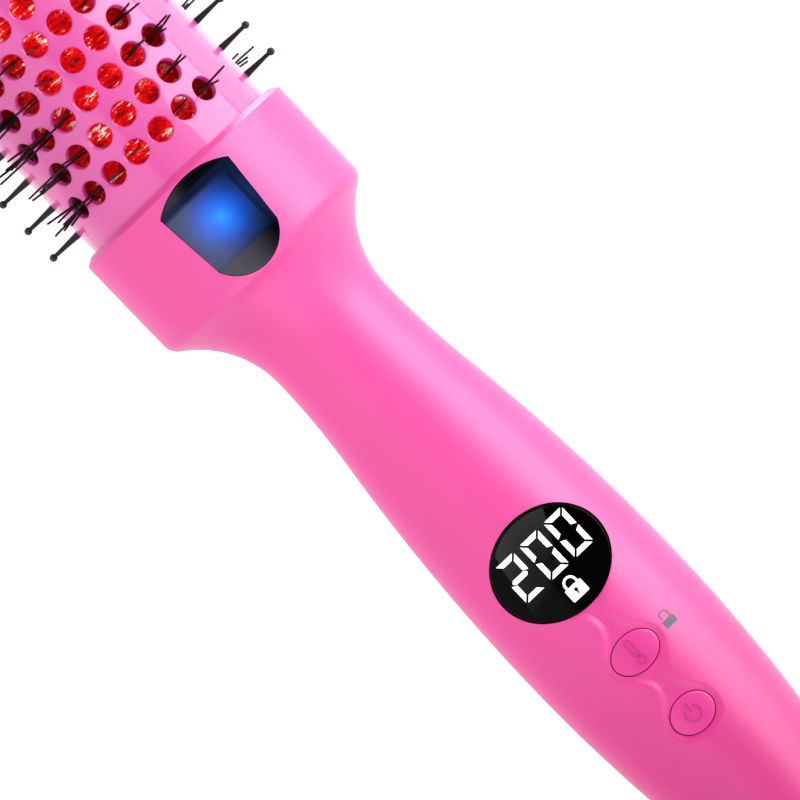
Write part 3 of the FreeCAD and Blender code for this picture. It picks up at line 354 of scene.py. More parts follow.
def three_point_arc(start, middle, end, count):
    """Points of the circle through three points, from start to end."""
    (ax, ay), (bx, by), (cx, cy) = start, middle, end
    aa, bb, cc = ax * ax + ay * ay, bx * bx + by * by, cx * cx + cy * cy
    d = 2 * (ax * (by - cy) + bx * (cy - ay) + cx * (ay - by))
    ux = (aa * (by - cy) + bb * (cy - ay) + cc * (ay - by)) / d
    uy = (aa * (cx - bx) + bb * (ax - cx) + cc * (bx - ax)) / d
    first, mid, last = [atan2(y - uy, x - ux) for x, y in (start, middle, end)]
    sweep = (last - first) % (2 * pi)
    if (mid - first) % (2 * pi) > sweep:
        sweep -= 2 * pi
    turns = [first + sweep * i / count for i in range(count + 1)]
    return points_round((ux, uy), hypot(ax - ux, ay - uy), turns)


def straight(start, end, steps=12):
    """Points between two ends, without the ends."""
    return [tuple(p + (q - p) * i / steps for p, q in zip(start, end)) for i in range(1, steps)]


def window_outline(margin=0.0):
    """The window's shield shape."""
    front, shoulder, corner, rear = 1.3 - margin, 4.0, 18.1, 22.7 + margin
    wide, narrow = 8.35 + margin, 7.1 + margin
    bow = three_point_arc((shoulder, wide), (front, 0.0), (shoulder, -wide), 24)
    end = three_point_arc((corner, -narrow), (rear, 0.0), (corner, narrow), 32)
    return (bow + straight((shoulder, -wide), (corner, -narrow)) + end
            + straight((corner, narrow), (shoulder, wide)))


# ---- lenses, caps and figures
def plate(name, outline, rings, height=top_z, thick=1.0):
    """A lens or cap over an outline, from rings of (share of the outline, depth under the surface)."""
    middle_s = sum(s for s, _ in outline) / len(outline)
    middle_a = sum(a for _, a in outline) / len(outline)
    verts, count = [], len(outline)
    for share, depth in [(rings[0][0], thick)] + rings:
        for s, a in outline:
            station = middle_s + (s - middle_s) * share
            across = middle_a + (a - middle_a) * share
            verts.append((COLLAR_X - station, -across, float(height(station, across, depth))))
    faces = strip_faces(len(rings) + 1, count, True)
    faces.append(tuple(range(count)))
    verts.append((COLLAR_X - middle_s, -middle_a, float(height(middle_s, middle_a, rings[-1][1]))))
    last = len(rings) * count
    faces += [(last + j, last + (j + 1) % count, len(verts) - 1) for j in range(count)]
    return tidy_mesh(build_mesh(name, verts, faces))


def inlay(name, polygons, height, lift, thick=0.12, cuts=2):
    """Flat figures laid on a curved surface, each a closed outline of (station, across) with holes."""
    objects = []
    for loops in polygons:
        flat = [[Vector((s, a, 0)) for s, a in loop] for loop in loops]
        work = bmesh.new()
        made = [work.verts.new(point) for loop in flat for point in loop]
        for corners in tessellate_polygon(flat):
            if len(set(corners)) == 3:
                work.faces.new([made[corner] for corner in corners])
        bmesh.ops.subdivide_edges(work, edges=work.edges, cuts=cuts, use_grid_fill=True)
        bmesh.ops.recalc_face_normals(work, faces=work.faces)
        grown = bmesh.ops.extrude_face_region(work, geom=work.faces[:])
        raised = {v for v in grown["geom"] if isinstance(v, bmesh.types.BMVert)}
        for vert in work.verts:
            s, a = vert.co.x, vert.co.y
            depth = -lift if vert in raised else thick - lift
            vert.co = Vector(((COLLAR_X - s) * MM, -a * MM, float(height(s, a, depth)) * MM))
        bmesh.ops.recalc_face_normals(work, faces=work.faces)
        objects.append(placed(name, bpy.data.meshes.new(name)))
        work.to_mesh(objects[-1].data)
        work.free()
    return shade(joined(name, objects), 35)


# ---- materials
ROUGHNESS_SCALE = 140
GRAIN_DEPTH = 0.00004


def is_output(value):
    return isinstance(value, bpy.types.NodeSocket)


def feed(made, sockets):
    """Sets a node's inputs: another node's output is linked, anything else becomes the plain value."""
    for key, value in sockets.items():
        if is_output(value):
            made.id_data.links.new(value, made.inputs[key])
        else:
            made.inputs[key].default_value = value


def node(tree, kind, sockets=None, **attributes):
    made = tree.nodes.new("ShaderNode" + kind)
    for key, value in attributes.items():
        setattr(made, key, value)
    feed(made, sockets or {})
    return made


def principled(name, colour, roughness, **sockets):
    """A material, its tree and its shader; plain values are set on the shader's own sockets."""
    material = bpy.data.materials.new(name)
    material.use_nodes = True
    tree = material.node_tree
    shader = tree.nodes["Principled BSDF"]
    plain = {key.replace("_", " "): value for key, value in sockets.items()}
    feed(shader, {"Base Color": (*colour, 1), "Roughness": roughness, **plain})
    return material, tree, shader


def noise(tree, scale, detail=3.0, stretch=(1, 1, 1), roughness=0.5):
    """Noise in the object's own metres, with a scale for each axis."""
    place = node(tree, "TexCoord").outputs["Object"]
    place = node(tree, "Mapping", {"Scale": stretch, "Vector": place}).outputs["Vector"]
    sockets = {"Scale": scale, "Detail": detail, "Roughness": roughness, "Vector": place}
    return node(tree, "TexNoise", sockets).outputs["Fac"]


def ramp(value, *stops):
    """A colour ramp through (position, colour) stops."""
    made = node(value.id_data, "ValToRGB", {"Fac": value})
    elements = made.color_ramp.elements
    while len(elements) < len(stops):
        elements.new(0.5)
    for element, (place, colour) in zip(elements, stops):
        element.position = place
        element.color = (*colour, 1)
    return made.outputs["Color"]


def math_node(operation, *values):
    """A sum on outputs and numbers."""
    tree = next(value.id_data for value in values if is_output(value))
    return node(tree, "Math", dict(enumerate(values)), operation=operation).outputs["Value"]


def map_range(value, source=(0.0, 1.0), target=(0.0, 1.0), kind="LINEAR"):
    """Carries a value from one span over to another."""
    sockets = {"Value": value, "From Min": source[0], "From Max": source[1],
               "To Min": target[0], "To Max": target[1]}
    return node(value.id_data, "MapRange", sockets, interpolation_type=kind).outputs["Result"]


def mix_colours(share, first, second, blend="MIX"):
    sockets = {"Factor": share, "A": first, "B": second}
    return node(first.id_data, "Mix", sockets, data_type="RGBA", blend_type=blend).outputs["Result"]


def soft_span(value, low, high, soft):
    """1 between two values of a coordinate, fading out over soft at each end."""
    rise = map_range(value, (low - soft, low + soft), kind="SMOOTHSTEP")
    fall = map_range(value, (high + soft, high - soft), kind="SMOOTHSTEP")
    return math_node("MULTIPLY", rise, fall)


def wander(tree, scale, size):
    """A slow noise about zero."""
    return math_node("MULTIPLY", math_node("SUBTRACT", noise(tree, scale, 2), 0.5), size)


def object_axis(tree, axis):
    place = node(tree, "TexCoord").outputs["Object"]
    return node(tree, "SeparateXYZ", {"Vector": place}).outputs[axis]


def world_axis(tree, axis):
    place = node(tree, "NewGeometry").outputs["Position"]
    return node(tree, "SeparateXYZ", {"Vector": place}).outputs[axis]


def add_bump(shader, height, strength, distance):
    bump = node(shader.id_data, "Bump", {"Strength": strength, "Distance": distance, "Height": height})
    feed(shader, {"Normal": bump.outputs["Normal"]})


def add_surface(shader, colour, roughness, grain, bump):
    """Gives a shader a colour, a roughness that plays between two values and a fine grain."""
    tree = shader.id_data
    play = map_range(noise(tree, ROUGHNESS_SCALE, 3), target=roughness)
    feed(shader, {"Base Color": colour, "Roughness": play})
    add_bump(shader, noise(tree, grain, 2), bump, GRAIN_DEPTH)


def shaded(colour, share):
    return tuple(c * share for c in colour)


def moulded(name, colour, roughness, variation, grain, bump, **sockets):
    """Moulded plastic: a slow drift of the colour, a rough and smooth play and a fine grain."""
    material, tree, shader = principled(name, colour, roughness, **sockets)
    drift = ramp(noise(tree, 28, 2), (0.3, shaded(colour, 1 - variation)), (0.7, colour))
    add_surface(shader, drift, (roughness * 0.92, roughness * 1.08), grain, bump)
    return material


def metal(name, colour, roughness, stretch=(1, 1, 1)):
    material, tree, shader = principled(name, colour, roughness, Metallic=1.0)
    drift = ramp(noise(tree, 900, 3, stretch), (0.3, shaded(colour, 0.8)), (0.7, colour))
    feed(shader, {"Base Color": drift})
    add_bump(shader, noise(tree, 2600, 2, stretch), 0.15, 0.00003)
    return material


SOFT_PINK = (0.95, 0.080, 0.392)
# the pink from the tail to the head; its darker tail end is painted shade
PINK_TAIL_SHADE = ((0.0, (0.72, 0.028, 0.245)), (0.26, (0.82, 0.041, 0.302)), (0.4, (0.87, 0.058, 0.343)),
            (0.67, (0.92, 0.072, 0.365)), (1.0, SOFT_PINK))
BUTTON_PINK = (0.88, 0.052, 0.335)
COVER_PINK = (0.85, 0.063, 0.412)


def soft_touch_pink():
    """Soft-touch paint: a satin sheen, a fine grain, and a pink darkened towards the tail as painted
    shade.
    """
    material, tree, shader = principled("soft_touch_pink", SOFT_PINK, 0.42, Specular_IOR_Level=0.55)
    # painted shade: the colour darkens along X towards the tail
    place = map_range(object_axis(tree, "X"), (0.045, 0.145))
    colour = ramp(math_node("ADD", place, wander(tree, 30, 0.12)), *PINK_TAIL_SHADE)
    add_surface(shader, colour, (0.39, 0.45), 3200, 0.10)
    return material


soft_touch = soft_touch_pink()
button_pink = moulded("button_pink", BUTTON_PINK, 0.40, 0.03, 3200, 0.10)
symbol_pink = moulded("symbol_pink", shaded(BUTTON_PINK, 0.80), 0.40, 0.03, 3200, 0.10)
cover_gloss = moulded("cover_gloss_pink", COVER_PINK, 0.45, 0.03, 500, 0.03, Specular_IOR_Level=0.8,
                      Coat_Weight=1.0, Coat_Roughness=0.03)
pin_black = moulded("pin_black", (0.024, 0.020, 0.020), 0.34, 0.3, 1800, 0.15)
bristle_black = moulded("bristle_black", (0.010, 0.004, 0.006), 0.34, 0.4, 900, 0.1,
                        Specular_IOR_Level=0.3)
rubber_black = moulded("rubber_black", (0.022, 0.022, 0.024), 0.62, 0.3, 2400, 0.3)
part_black = moulded("part_black", (0.03, 0.03, 0.03), 0.5, 0.3, 2000, 0.2)
chamber_white = moulded("chamber_white", (0.75, 0.78, 0.82), 0.4, 0.05, 2000, 0.1)
board_green = moulded("board_green", (0.02, 0.16, 0.07), 0.35, 0.3, 1400, 0.3)
lead_sleeve = moulded("lead_sleeve", (0.72, 0.72, 0.68), 0.6, 0.1, 3000, 0.4)
print_grey = moulded("print_grey", (0.165, 0.155, 0.19), 0.5, 0.1, 3000, 0.1)
steel = metal("zinc_steel", (0.62, 0.62, 0.63), 0.32)
brass = metal("contact_brass", (0.80, 0.56, 0.22), 0.28)
aluminium = metal("extruded_aluminium", (0.80, 0.80, 0.82), 0.35, (0.1, 1, 1))


FOIL_REDS_AND_GLINTS = ((0.37, (0.20, 0.0, 0.002)), (0.455, (0.70, 0.0, 0.004)), (0.53, (1.0, 0.001, 0.006)),
             (0.56, (1.0, 0.03, 0.02)), (0.585, (1.0, 0.90, 0.78)))  # the last is a painted glint of gold


def barrel_foil():
    """Red metallic lacquer over a turned tube: rings of fine streaks, crumples, and painted glints of
    gold in its colour.
    """
    material, tree, shader = principled("barrel_foil_red", (0.80, 0.01, 0.015), 0.2, Metallic=0.86)
    crumple = noise(tree, 420, 5, (1.5, 0.8, 0.8), 0.68)
    streaks = noise(tree, 1500, 3, (1.0, 0.12, 0.12), 0.65)
    mixed = math_node("ADD", math_node("MULTIPLY", crumple, 0.62),
                      math_node("MULTIPLY", streaks, 0.38))
    # painted glints: where the noise peaks the colour turns gold-white
    feed(shader, {"Base Color": ramp(mixed, *FOIL_REDS_AND_GLINTS)})
    add_bump(shader, math_node("ADD", crumple, streaks), 0.85, 0.0007)
    return material


# the painted glow of the lamp from its middle outwards, and the window's other painted light and shade
GLOW_BLUES = ((0.0, (0.02, 0.38, 0.98)), (0.20, (0.015, 0.20, 0.92)), (0.38, (0.013, 0.115, 0.72)),
              (0.55, (0.012, 0.062, 0.40)), (0.72, (0.011, 0.036, 0.175)), (0.88, (0.006, 0.020, 0.088)),
              (1.0, (0.003, 0.012, 0.050)))
WINDOW_BLACK, GAP_BLUE = (0.0006, 0.0010, 0.0022), (0.0050, 0.0095, 0.040, 1)
# painted light: greys for the lit sides, and a haze that stands for a painted reflection
FRONT_GREY, REAR_GREY, REFLECTION_HAZE = (0.026, 0.026, 0.034), (0.075, 0.075, 0.092), (0.062, 0.070, 0.125)
GLOW_STATION, GLOW_R = 11.0, 0.0085
CHAMBER, CHAMBER_GAP, BEHIND_CHAMBER = (18.0, 5.2), (6.0, 3.5), (40.0, 17.9)  # stations, rear end first
RIB, RIB_SHADE = (-0.0066, -0.0058), 0.55  # a painted shade line along the glow's edge
PAST_EDGE = 0.040  # metres across; well outside the window


def window_smoke():
    """Smoked lens over a blue lamp, painted as light in its emission: the lamp's round glow in its
    chamber, lit sides, a reflection haze and a shaded rib, dark at the front.
    """
    material, tree, shader = principled("window_smoke", (0.002, 0.002, 0.003), 0.07,
                                        Specular_IOR_Level=0.12)
    x, y = object_axis(tree, "X"), object_axis(tree, "Y")

    def between(stations, soft):
        rear, front = ((COLLAR_X - station) * MM for station in stations)
        return soft_span(x, rear, front, soft)

    def lit_side(start, soft, dark, light):
        """A colour that grows from dark to light across the window: painted light on one side."""
        return ramp(soft_span(y, start, PAST_EDGE, soft), (0.0, dark), (1.0, light))

    away_x = math_node("SUBTRACT", x, (COLLAR_X - GLOW_STATION) * MM)
    square = math_node("ADD", math_node("POWER", away_x, 2.0), math_node("POWER", y, 2.0))
    reach = math_node("DIVIDE", math_node("SQRT", square), GLOW_R)
    glow = ramp(math_node("ADD", reach, wander(tree, 260, 0.16)), *GLOW_BLUES)
    glow_and_reflection = mix_colours(1.0, glow, lit_side(0.0010, 0.0050, (0, 0, 0), REFLECTION_HAZE), "ADD")
    front = lit_side(0.0025, 0.0025, WINDOW_BLACK, FRONT_GREY)
    rear = lit_side(-0.0015, 0.0045, WINDOW_BLACK, REAR_GREY)
    dim = mix_colours(between(BEHIND_CHAMBER, 0.0006), front, rear)
    dim = mix_colours(between(CHAMBER_GAP, 0.0004), dim, GAP_BLUE)
    rib = math_node("MULTIPLY", soft_span(y, *RIB, 0.0003), RIB_SHADE)
    share = math_node("MULTIPLY", between(CHAMBER, 0.0006), math_node("SUBTRACT", 1.0, rib))
    # all of the window's colour is emission: painted glow, painted light and shade, painted reflection
    feed(shader, {"Emission Color": mix_colours(share, dim, glow_and_reflection), "Emission Strength": 1.0})
    add_bump(shader, noise(tree, 600, 2), 0.02, GRAIN_DEPTH)
    return material


def display_glass():
    """Black lens that mirrors little, with a faint ripple."""
    material, tree, shader = principled("display_black", (0.0015, 0.0015, 0.0018), 0.035,
                                        Specular_IOR_Level=0.05)
    add_bump(shader, noise(tree, 220, 2), 0.02, 0.00005)
    return material


def lit_figures():
    material, tree, shader = principled("figures_lit", (0.8, 0.8, 0.8), 0.4)
    glow = ramp(noise(tree, 260, 2), (0.2, (0.93, 0.95, 0.97)), (0.8, (1.0, 1.0, 1.0)))
    feed(shader, {"Emission Color": glow, "Emission Strength": 1.0})
    return material


barrel_red = barrel_foil()
smoke = window_smoke()
glass_black = display_glass()
figures_white = lit_figures()


# ---- housing
COLLAR_BORE_DEPTH, TAIL_BORE_LENGTH, INNER_END = 3.9, 4.0, 6.0  # the last two before the tail's end
SEAM_ANGLES = np.array([0.0, 0.18, 0.4, 0.8, 1.6])  # fine columns beside the parting line
SKIN_ANGLE = 30  # degrees; the housing shades smooth up to it


def half_shell(name, front):
    """One half of the housing as a closed shell: outside, tail wall with its bore, inside."""
    quick = 1
    stations = np.unique(np.round(np.concatenate([
        [0, 0.12, 0.3, 0.5, 0.7, 0.85, 0.95, 1.05, 1.2, 1.5, 2.2], np.arange(3.5, 20, 2.0),
        np.arange(19.5, 27, 0.35), np.arange(27, 84, 1.1), np.arange(84, 142, 0.6 * quick),
        np.arange(142, 184, 1.6), np.arange(184, HANDLE_LENGTH, 0.3), [HANDLE_LENGTH - 0.03]]), 3))
    side = 90 - SEAM_ANGLES
    angles = np.radians(np.concatenate([-side, np.arange(-87, 87.1, 1.5 * quick), side[::-1]]))
    rows, columns = len(stations) + 1, len(angles)
    outer, inner = [], []
    for station in list(stations) + [HANDLE_LENGTH]:
        last = station == HANDLE_LENGTH
        radius = np.full(columns, SWIVEL_BORE_R) if last else surface_r(station, angles, front)
        inside = float(outline_r(min(station, HANDLE_LENGTH - INNER_END))) - WALL
        if station < COLLAR_BORE_DEPTH:
            inside = COLLAR_BORE_R
        if station > HANDLE_LENGTH - TAIL_BORE_LENGTH:
            inside = SWIVEL_BORE_R
        depth = min(station, HANDLE_LENGTH - TAIL_WALL)
        outer += [polar(COLLAR_X - station, r, a) for r, a in zip(radius, angles)]
        inner += [polar(COLLAR_X - depth, inside, a) for a in angles]
    shift = len(outer)
    faces = strip_faces(rows, columns)
    faces += [tuple(shift + v for v in reversed(face)) for face in faces]
    rim = [(a, a + columns) for i in range(rows - 1) for a in (i * columns, (i + 1) * columns - 1)]
    rim += [(a, a + 1) for j in range(columns - 1) for a in (j, (rows - 1) * columns + j)]
    faces += [(a, b, shift + b, shift + a) for a, b in rim]
    return tidy_mesh(build_mesh(name, outer + inner, faces), 0.002, SKIN_ANGLE)


def turned(obj, opposite=True):
    """Turns a piece of the opposite side half a turn about the brush's axis."""
    if opposite:
        obj.data.transform(Matrix.Rotation(pi, 4, "X"))
    return obj


def read_values(items, attribute, width=1, kind=float):
    """An attribute of every item of a mesh as an array, one row for each."""
    values = np.empty(len(items) * width, kind)
    items.foreach_get(attribute, values)
    return values.reshape(-1, width) if width > 1 else values


NORMAL_STEP = 0.03  # mm to each side for the slope of the surface
NORMAL_REACH, NORMAL_MATCH = 0.04, 0.75  # a corner takes it when this near, and this much along its face


def exact_normals(obj, front):
    """Gives the outer surface the normals of its formula, so that cut faces shade smoothly."""
    mesh = obj.data
    mirror = np.array([1, 1, 1] if front else [1, -1, -1])
    vertex = read_values(mesh.loops, "vertex_index", kind=np.int32)
    places = read_values(mesh.vertices, "co", 3)[vertex] / MM * mirror
    normals = read_values(mesh.corner_normals, "vector", 3) * mirror
    corners = read_values(mesh.polygons, "loop_total", kind=np.int32)
    flat = np.repeat(read_values(mesh.polygons, "normal", 3), corners, 0) * mirror
    station = COLLAR_X - places[:, 0]
    angle = np.arctan2(-places[:, 1], places[:, 2])
    radius = np.hypot(places[:, 1], places[:, 2])
    here = surface_r(station, angle, front)

    def slope(ahead, turn):
        """Change of the surface's radius over a step along the brush or a turn round it."""
        behind = surface_r(station - ahead, angle - turn, front)
        return (surface_r(station + ahead, angle + turn, front) - behind) / (2 * (ahead + turn))

    still = np.zeros(len(vertex))
    along_r = slope(NORMAL_STEP, still)
    around_r = slope(still, NORMAL_STEP / np.maximum(here, 1.0))
    along = np.stack([still - 1, -along_r * np.sin(angle), along_r * np.cos(angle)], 1)
    around = np.stack([still, -here * np.cos(angle) - around_r * np.sin(angle),
                       -here * np.sin(angle) + around_r * np.cos(angle)], 1)
    exact = np.cross(along, around)
    exact /= np.maximum(np.linalg.norm(exact, axis=1, keepdims=True), 1e-9)
    outward = np.stack([still, -np.sin(angle), np.cos(angle)], 1)
    exact *= np.sign(np.sum(exact * outward, 1, keepdims=True) + 1e-9)
    keep = (np.abs(radius - here) < NORMAL_REACH) & (np.sum(exact * flat, 1) > NORMAL_MATCH)
    normals[keep] = exact[keep]
    mesh.normals_split_custom_set((normals * mirror).tolist())
    return obj


CUT_SPAN, WELL_SPAN = (5, 40), (-40, -5)  # from inside the wall to well outside it


def front_skin():
    openings = [window_outline(0.10), oval_outline(DISPLAY, 0.12)]
    openings += [oval_outline(button, 0.16) for button in (TEMP_BUTTON, POWER_BUTTON)]
    obj = half_shell("housing_front", True)
    cut(obj, [prism(outline, *CUT_SPAN) for outline in openings])
    return exact_normals(shade(obj, SKIN_ANGLE), True)


WELL_R, SCREW_HOLE_R, WELL_OUTER_R, WELL_STEPS = 2.55, 1.35, 3.3, 32
WELL_SEAT_RISE, WELL_FLOOR, WELL_SUNK = 1.6, 1.2, 1.2
SCREW_INSET, SECOND_SCREW = 2.4, 16.4  # from the ends of the screws' box


def screw_well(x, seat):
    """A screw's tube inside the rear half, from the wall up to the seat under the screw's head."""
    wall = -(float(outline_r(COLLAR_X - x)) - WELL_SUNK)
    rings = [(WELL_R, wall), (WELL_R, seat), (SCREW_HOLE_R, seat), (SCREW_HOLE_R, seat + WELL_FLOOR),
             (WELL_OUTER_R, seat + WELL_FLOOR), (WELL_OUTER_R, wall)]
    verts = [(*place, z) for r, z in rings for place in circle((x, 0.0), r, WELL_STEPS)]
    faces = strip_faces(len(rings), WELL_STEPS, True)
    faces += ring_faces((len(rings) - 1) * WELL_STEPS, 0, WELL_STEPS)
    return tidy_mesh(build_mesh("well", verts, faces))


def rear_skin():
    obj = turned(half_shell("housing_rear", False))
    low, high = box_mm("housing_screws")
    screws = (high.x - SCREW_INSET, high.x - SECOND_SCREW, low.x + SCREW_INSET)
    tubes = [screw_well(x, low.z + WELL_SEAT_RISE) for x in screws]
    cut(obj, [prism(circle((COLLAR_X - x, 0.0), WELL_R, WELL_STEPS), *WELL_SPAN) for x in screws])
    exact_normals(shade(obj, SKIN_ANGLE), False)
    return joined("housing_rear", [obj] + tubes)


housings = [front_skin(), rear_skin()]
for skin, replaced in zip(housings, ("front_housing", "rear_housing")):
    finish_piece(skin, soft_touch, "housing_pink", replaced)


# ---- window, display and buttons
LENS_RINGS = [(1.0, 0.24), (0.995, 0.18), (0.957, 0.0), (0.945, 0.0), (0.9, 0.0), (0.8, 0.0),
              (0.65, 0.0), (0.5, 0.0), (0.35, 0.0), (0.2, 0.0), (0.08, 0.0)]
CAP_RINGS = [(1.0, 0.42), (0.992, 0.32), (0.975, 0.26), (0.94, 0.23), (0.85, 0.22), (0.7, 0.21),
             (0.5, 0.2), (0.3, 0.2), (0.12, 0.2)]

window = plate("window", window_outline(), LENS_RINGS)
finish_piece(window, smoke, "window_smoke", "ion_window")
display = plate("display", oval_outline(DISPLAY), LENS_RINGS, thick=1.2)
finish_piece(display, glass_black, "display_black", "display_lens")


def seven_segments(digit, top, left, height, width, bar, gap):
    """Outlines of a digit's bars; the digit's top is towards the head, its right towards -Y."""
    half, point, inset = height / 2, bar / 2, gap / sqrt(2)
    near, far = bar * 0.9, width - bar * 0.9
    upper = [(0, inset), (0, width - inset), (bar, width - bar - inset), (bar, bar + inset)]
    middle = [(half, inset + point * 0.3), (half + point, near), (half + point, far),
              (half, width - inset - point * 0.3), (half - point, far), (half - point, near)]
    high_left = [(inset, 0), (half - gap / 2, 0), (half - point - gap / 2, bar), (bar + inset, bar)]
    low_left = [(half + gap / 2, 0), (height - inset, 0), (height - bar - inset, bar),
                (half + point + gap / 2, bar)]
    bars = {"a": upper, "d": [(height - s, a) for s, a in upper], "g": middle, "e": low_left,
            "f": high_left, "b": [(s, width - a) for s, a in high_left],
            "c": [(s, width - a) for s, a in low_left]}
    lit = {"0": "abcdef", "2": "abged"}[digit]
    return [[[(top + s, left + a) for s, a in bars[name]]] for name in lit]


DIGIT_TOP, DIGIT_HEIGHT, DIGIT_WIDTH, BAR, BAR_GAP = 90.8, 8.5, 4.52, 0.98, 0.44
DIGIT_LEFTS = (-8.05, -2.08, 3.91)  # where the digits 2, 0 and 0 start, across the handle
figures = []
for digit, left in zip("200", DIGIT_LEFTS):
    figures += seven_segments(digit, DIGIT_TOP, left, DIGIT_HEIGHT, DIGIT_WIDTH, BAR, BAR_GAP)
LOCK_S, LOCK_A = 102.4, 0.11
keyhole = circle((LOCK_S + 1.05, LOCK_A), 0.38)
keyhole_slot = rectangle(LOCK_S + 1.2, LOCK_S + 1.95, LOCK_A + 0.16, LOCK_A - 0.16)
figures.append([round_box(LOCK_S, LOCK_S + 2.65, LOCK_A - 1.87, LOCK_A + 1.87, 0.25)])
figures.append([arc_band((LOCK_S - 0.45, LOCK_A), 1.18, 0.45, 90, 270)])
for side in (-1, 1):
    outside, inside = LOCK_A + side * 1.405, LOCK_A + side * 0.955
    figures.append([rectangle(LOCK_S - 0.5, LOCK_S + 0.05, outside, inside)])
finish_piece(inlay("display_figures", figures, top_z, 0.015), figures_white, "figures_white")
hole = inlay("display_keyhole", [[keyhole], [keyhole_slot]], top_z, 0.03)
finish_piece(hole, glass_black, "display_black")

OPEN_S, OPEN_A = 118.45, 8.38
open_lock = [[round_box(OPEN_S, OPEN_S + 1.55, OPEN_A - 1.3, OPEN_A + 1.3, 0.1)],
             [arc_band((OPEN_S - 0.75, OPEN_A - 0.05), 0.85, 0.3, 85, 300)],
             [rectangle(OPEN_S - 0.8, OPEN_S + 0.05, OPEN_A + 0.95, OPEN_A + 0.65)]]
finish_piece(inlay("printed_lock", open_lock, top_z, 0.012, 0.1), print_grey, "housing_pink")


def button_piece(name, oval, icon, body):
    """An oval cap with its raised symbol; the body is named as the node that the cap replaces."""
    cap = plate(name + "_cap", oval_outline(oval), CAP_RINGS, thick=2.6)
    symbol = inlay(name + "_symbol", icon, lambda s, a, depth: top_z(s, a, depth + 0.2), 0.09, 0.2, 1)
    finish_piece(symbol, symbol_pink, "button_pink", body=body)
    return finish_piece(cap, button_pink, "button_pink", body, body=body)


temp_s, power_s = TEMP_BUTTON[0], POWER_BUTTON[0]
stem = round_box(temp_s - 2.85, temp_s + 1.0, -0.70, 0.70, 0.65)
stem_hole = round_box(temp_s - 2.3, temp_s - 0.2, -0.30, 0.30, 0.28)
bulb, bulb_hole = circle((temp_s + 1.7, 0), 1.05, 24), circle((temp_s + 1.75, 0), 0.42, 16)
thermometer = [[stem, stem_hole], [bulb, bulb_hole]]
power_ring = [[arc_band((power_s + 0.1, 0), 1.48, 0.5, -145, 145, 30)],
              [round_box(power_s - 2.15, power_s - 0.2, -0.24, 0.24, 0.22)]]
buttons = [button_piece("temperature_key", TEMP_BUTTON, thermometer, "temperature_button"),
           button_piece("power_key", POWER_BUTTON, power_ring, "power_button")]


# ---- head
CELL_SIDE = 6  # points along each side of the cell round a hole
CELL_WIDTH = 6.0  # mm round the cover
HEAD_GAP = 0.12  # between the cover and the tip
# (radius, depth) round a hole, from the outside through the rounded rim to the inside; None is the
# cell's own border
HOLE_LEVELS = ((None, 0.0), (HOLE_R + 1.7 * HOLE_RIM, 0.0), (HOLE_R + HOLE_RIM, 0.012),
               (HOLE_R + 0.06, 0.13), (HOLE_R, 0.24), (HOLE_R, COVER_WALL), (None, COVER_WALL))


def ring_x(ring):
    return COLLAR_X + FIRST_RING + ring * RING_PITCH


def ring_columns(ring):
    """The columns of a ring's holes in one cover half, counted from -Y; every other ring is offset."""
    offset = ring % 2
    return [3 + offset / 2 + c for c in range(RING_COLUMNS - offset)]


def even_steps(first, last, step):
    count = max(1, int(round(abs(last - first) / step)))
    return [first + (last - first) * i / count for i in range(count + 1)]


def perforated_half(name):
    """The front cover half: a rectangular cell with a round rimmed hole for every tuft."""
    half = 90 - STRIP_HALF_ANGLE - SEAM_ANGLE
    step = COLUMN_ANGLE / CELL_SIDE
    lines = [90 - k * step for k in range(int(180 / step))]
    border = []
    for i in range(4 * CELL_SIDE):
        side, along = divmod(i, CELL_SIDE)
        t = -0.5 + along / CELL_SIDE
        border.append([(t, -0.5), (0.5, t), (-t, 0.5), (-0.5, -t)][side])
    verts, faces = [], []

    def put(x, bearing, depth):
        verts.append(polar(x, COVER_R - depth, radians(bearing)))

    def cell(x, bearing):
        for level, (radius, depth) in enumerate(HOLE_LEVELS):
            if level:
                faces.extend(ring_faces(len(verts) - len(border), len(verts), len(border)))
            for u, w in border:
                if radius is None:
                    put(x + u * RING_PITCH, bearing + w * COLUMN_ANGLE, depth)
                else:
                    turn = atan2(w * CELL_WIDTH, u * RING_PITCH)
                    around = degrees(radius * sin(turn) / COVER_R)
                    put(x + radius * cos(turn), bearing + around, depth)

    def plain(xs, first, last):
        """Both sides of a bare stretch; its lines from one angle down to another are the cells' own."""
        angles = [first] + [a for a in lines if last + 0.4 < a < first - 0.4] + [last]
        for depth in (0.0, COVER_WALL):
            start = len(verts)
            for x in xs:
                for angle in angles:
                    put(x, angle, depth)
            faces.extend(tuple(start + v for v in face) for face in strip_faces(len(xs), len(angles)))

    for ring in range(RING_COUNT):
        columns, x = ring_columns(ring), ring_x(ring)
        for column in columns:
            cell(x, 90 - column * COLUMN_ANGLE)
        xs = [x + (i / CELL_SIDE - 0.5) * RING_PITCH for i in range(CELL_SIDE + 1)]
        plain(xs, half, 90 - (columns[0] - 0.5) * COLUMN_ANGLE)
        plain(xs, 90 - (columns[-1] + 0.5) * COLUMN_ANGLE, -half)
    first_x = COLLAR_X + FIRST_RING - RING_PITCH / 2
    last_x = first_x + RING_COUNT * RING_PITCH
    for start, end in ((COVER_X, first_x), (last_x, HEAD_X - HEAD_GAP)):
        plain(even_steps(start, end, 1.2), half, -half)
    obj = build_mesh(name, verts, faces)
    with edited(obj) as work:
        bmesh.ops.remove_doubles(work, verts=work.verts, dist=0.01 * MM)
        bmesh.ops.triangulate(work, faces=[f for f in work.faces if len(f.verts) > 4])
        bmesh.ops.bridge_loops(work, edges=[e for e in work.edges if e.is_boundary])
    return tidy_mesh(obj, 0.0, 28)


SLOT_X, SLOT_ANGLE, SLOT_MARGIN = 0.95, 4.2, 2.2  # half sizes of a pin's slot, and of its clear patch
STRIP_ANGLES = (SLOT_ANGLE, 6, 8, 11, 15, 18.9, STRIP_HALF_ANGLE)


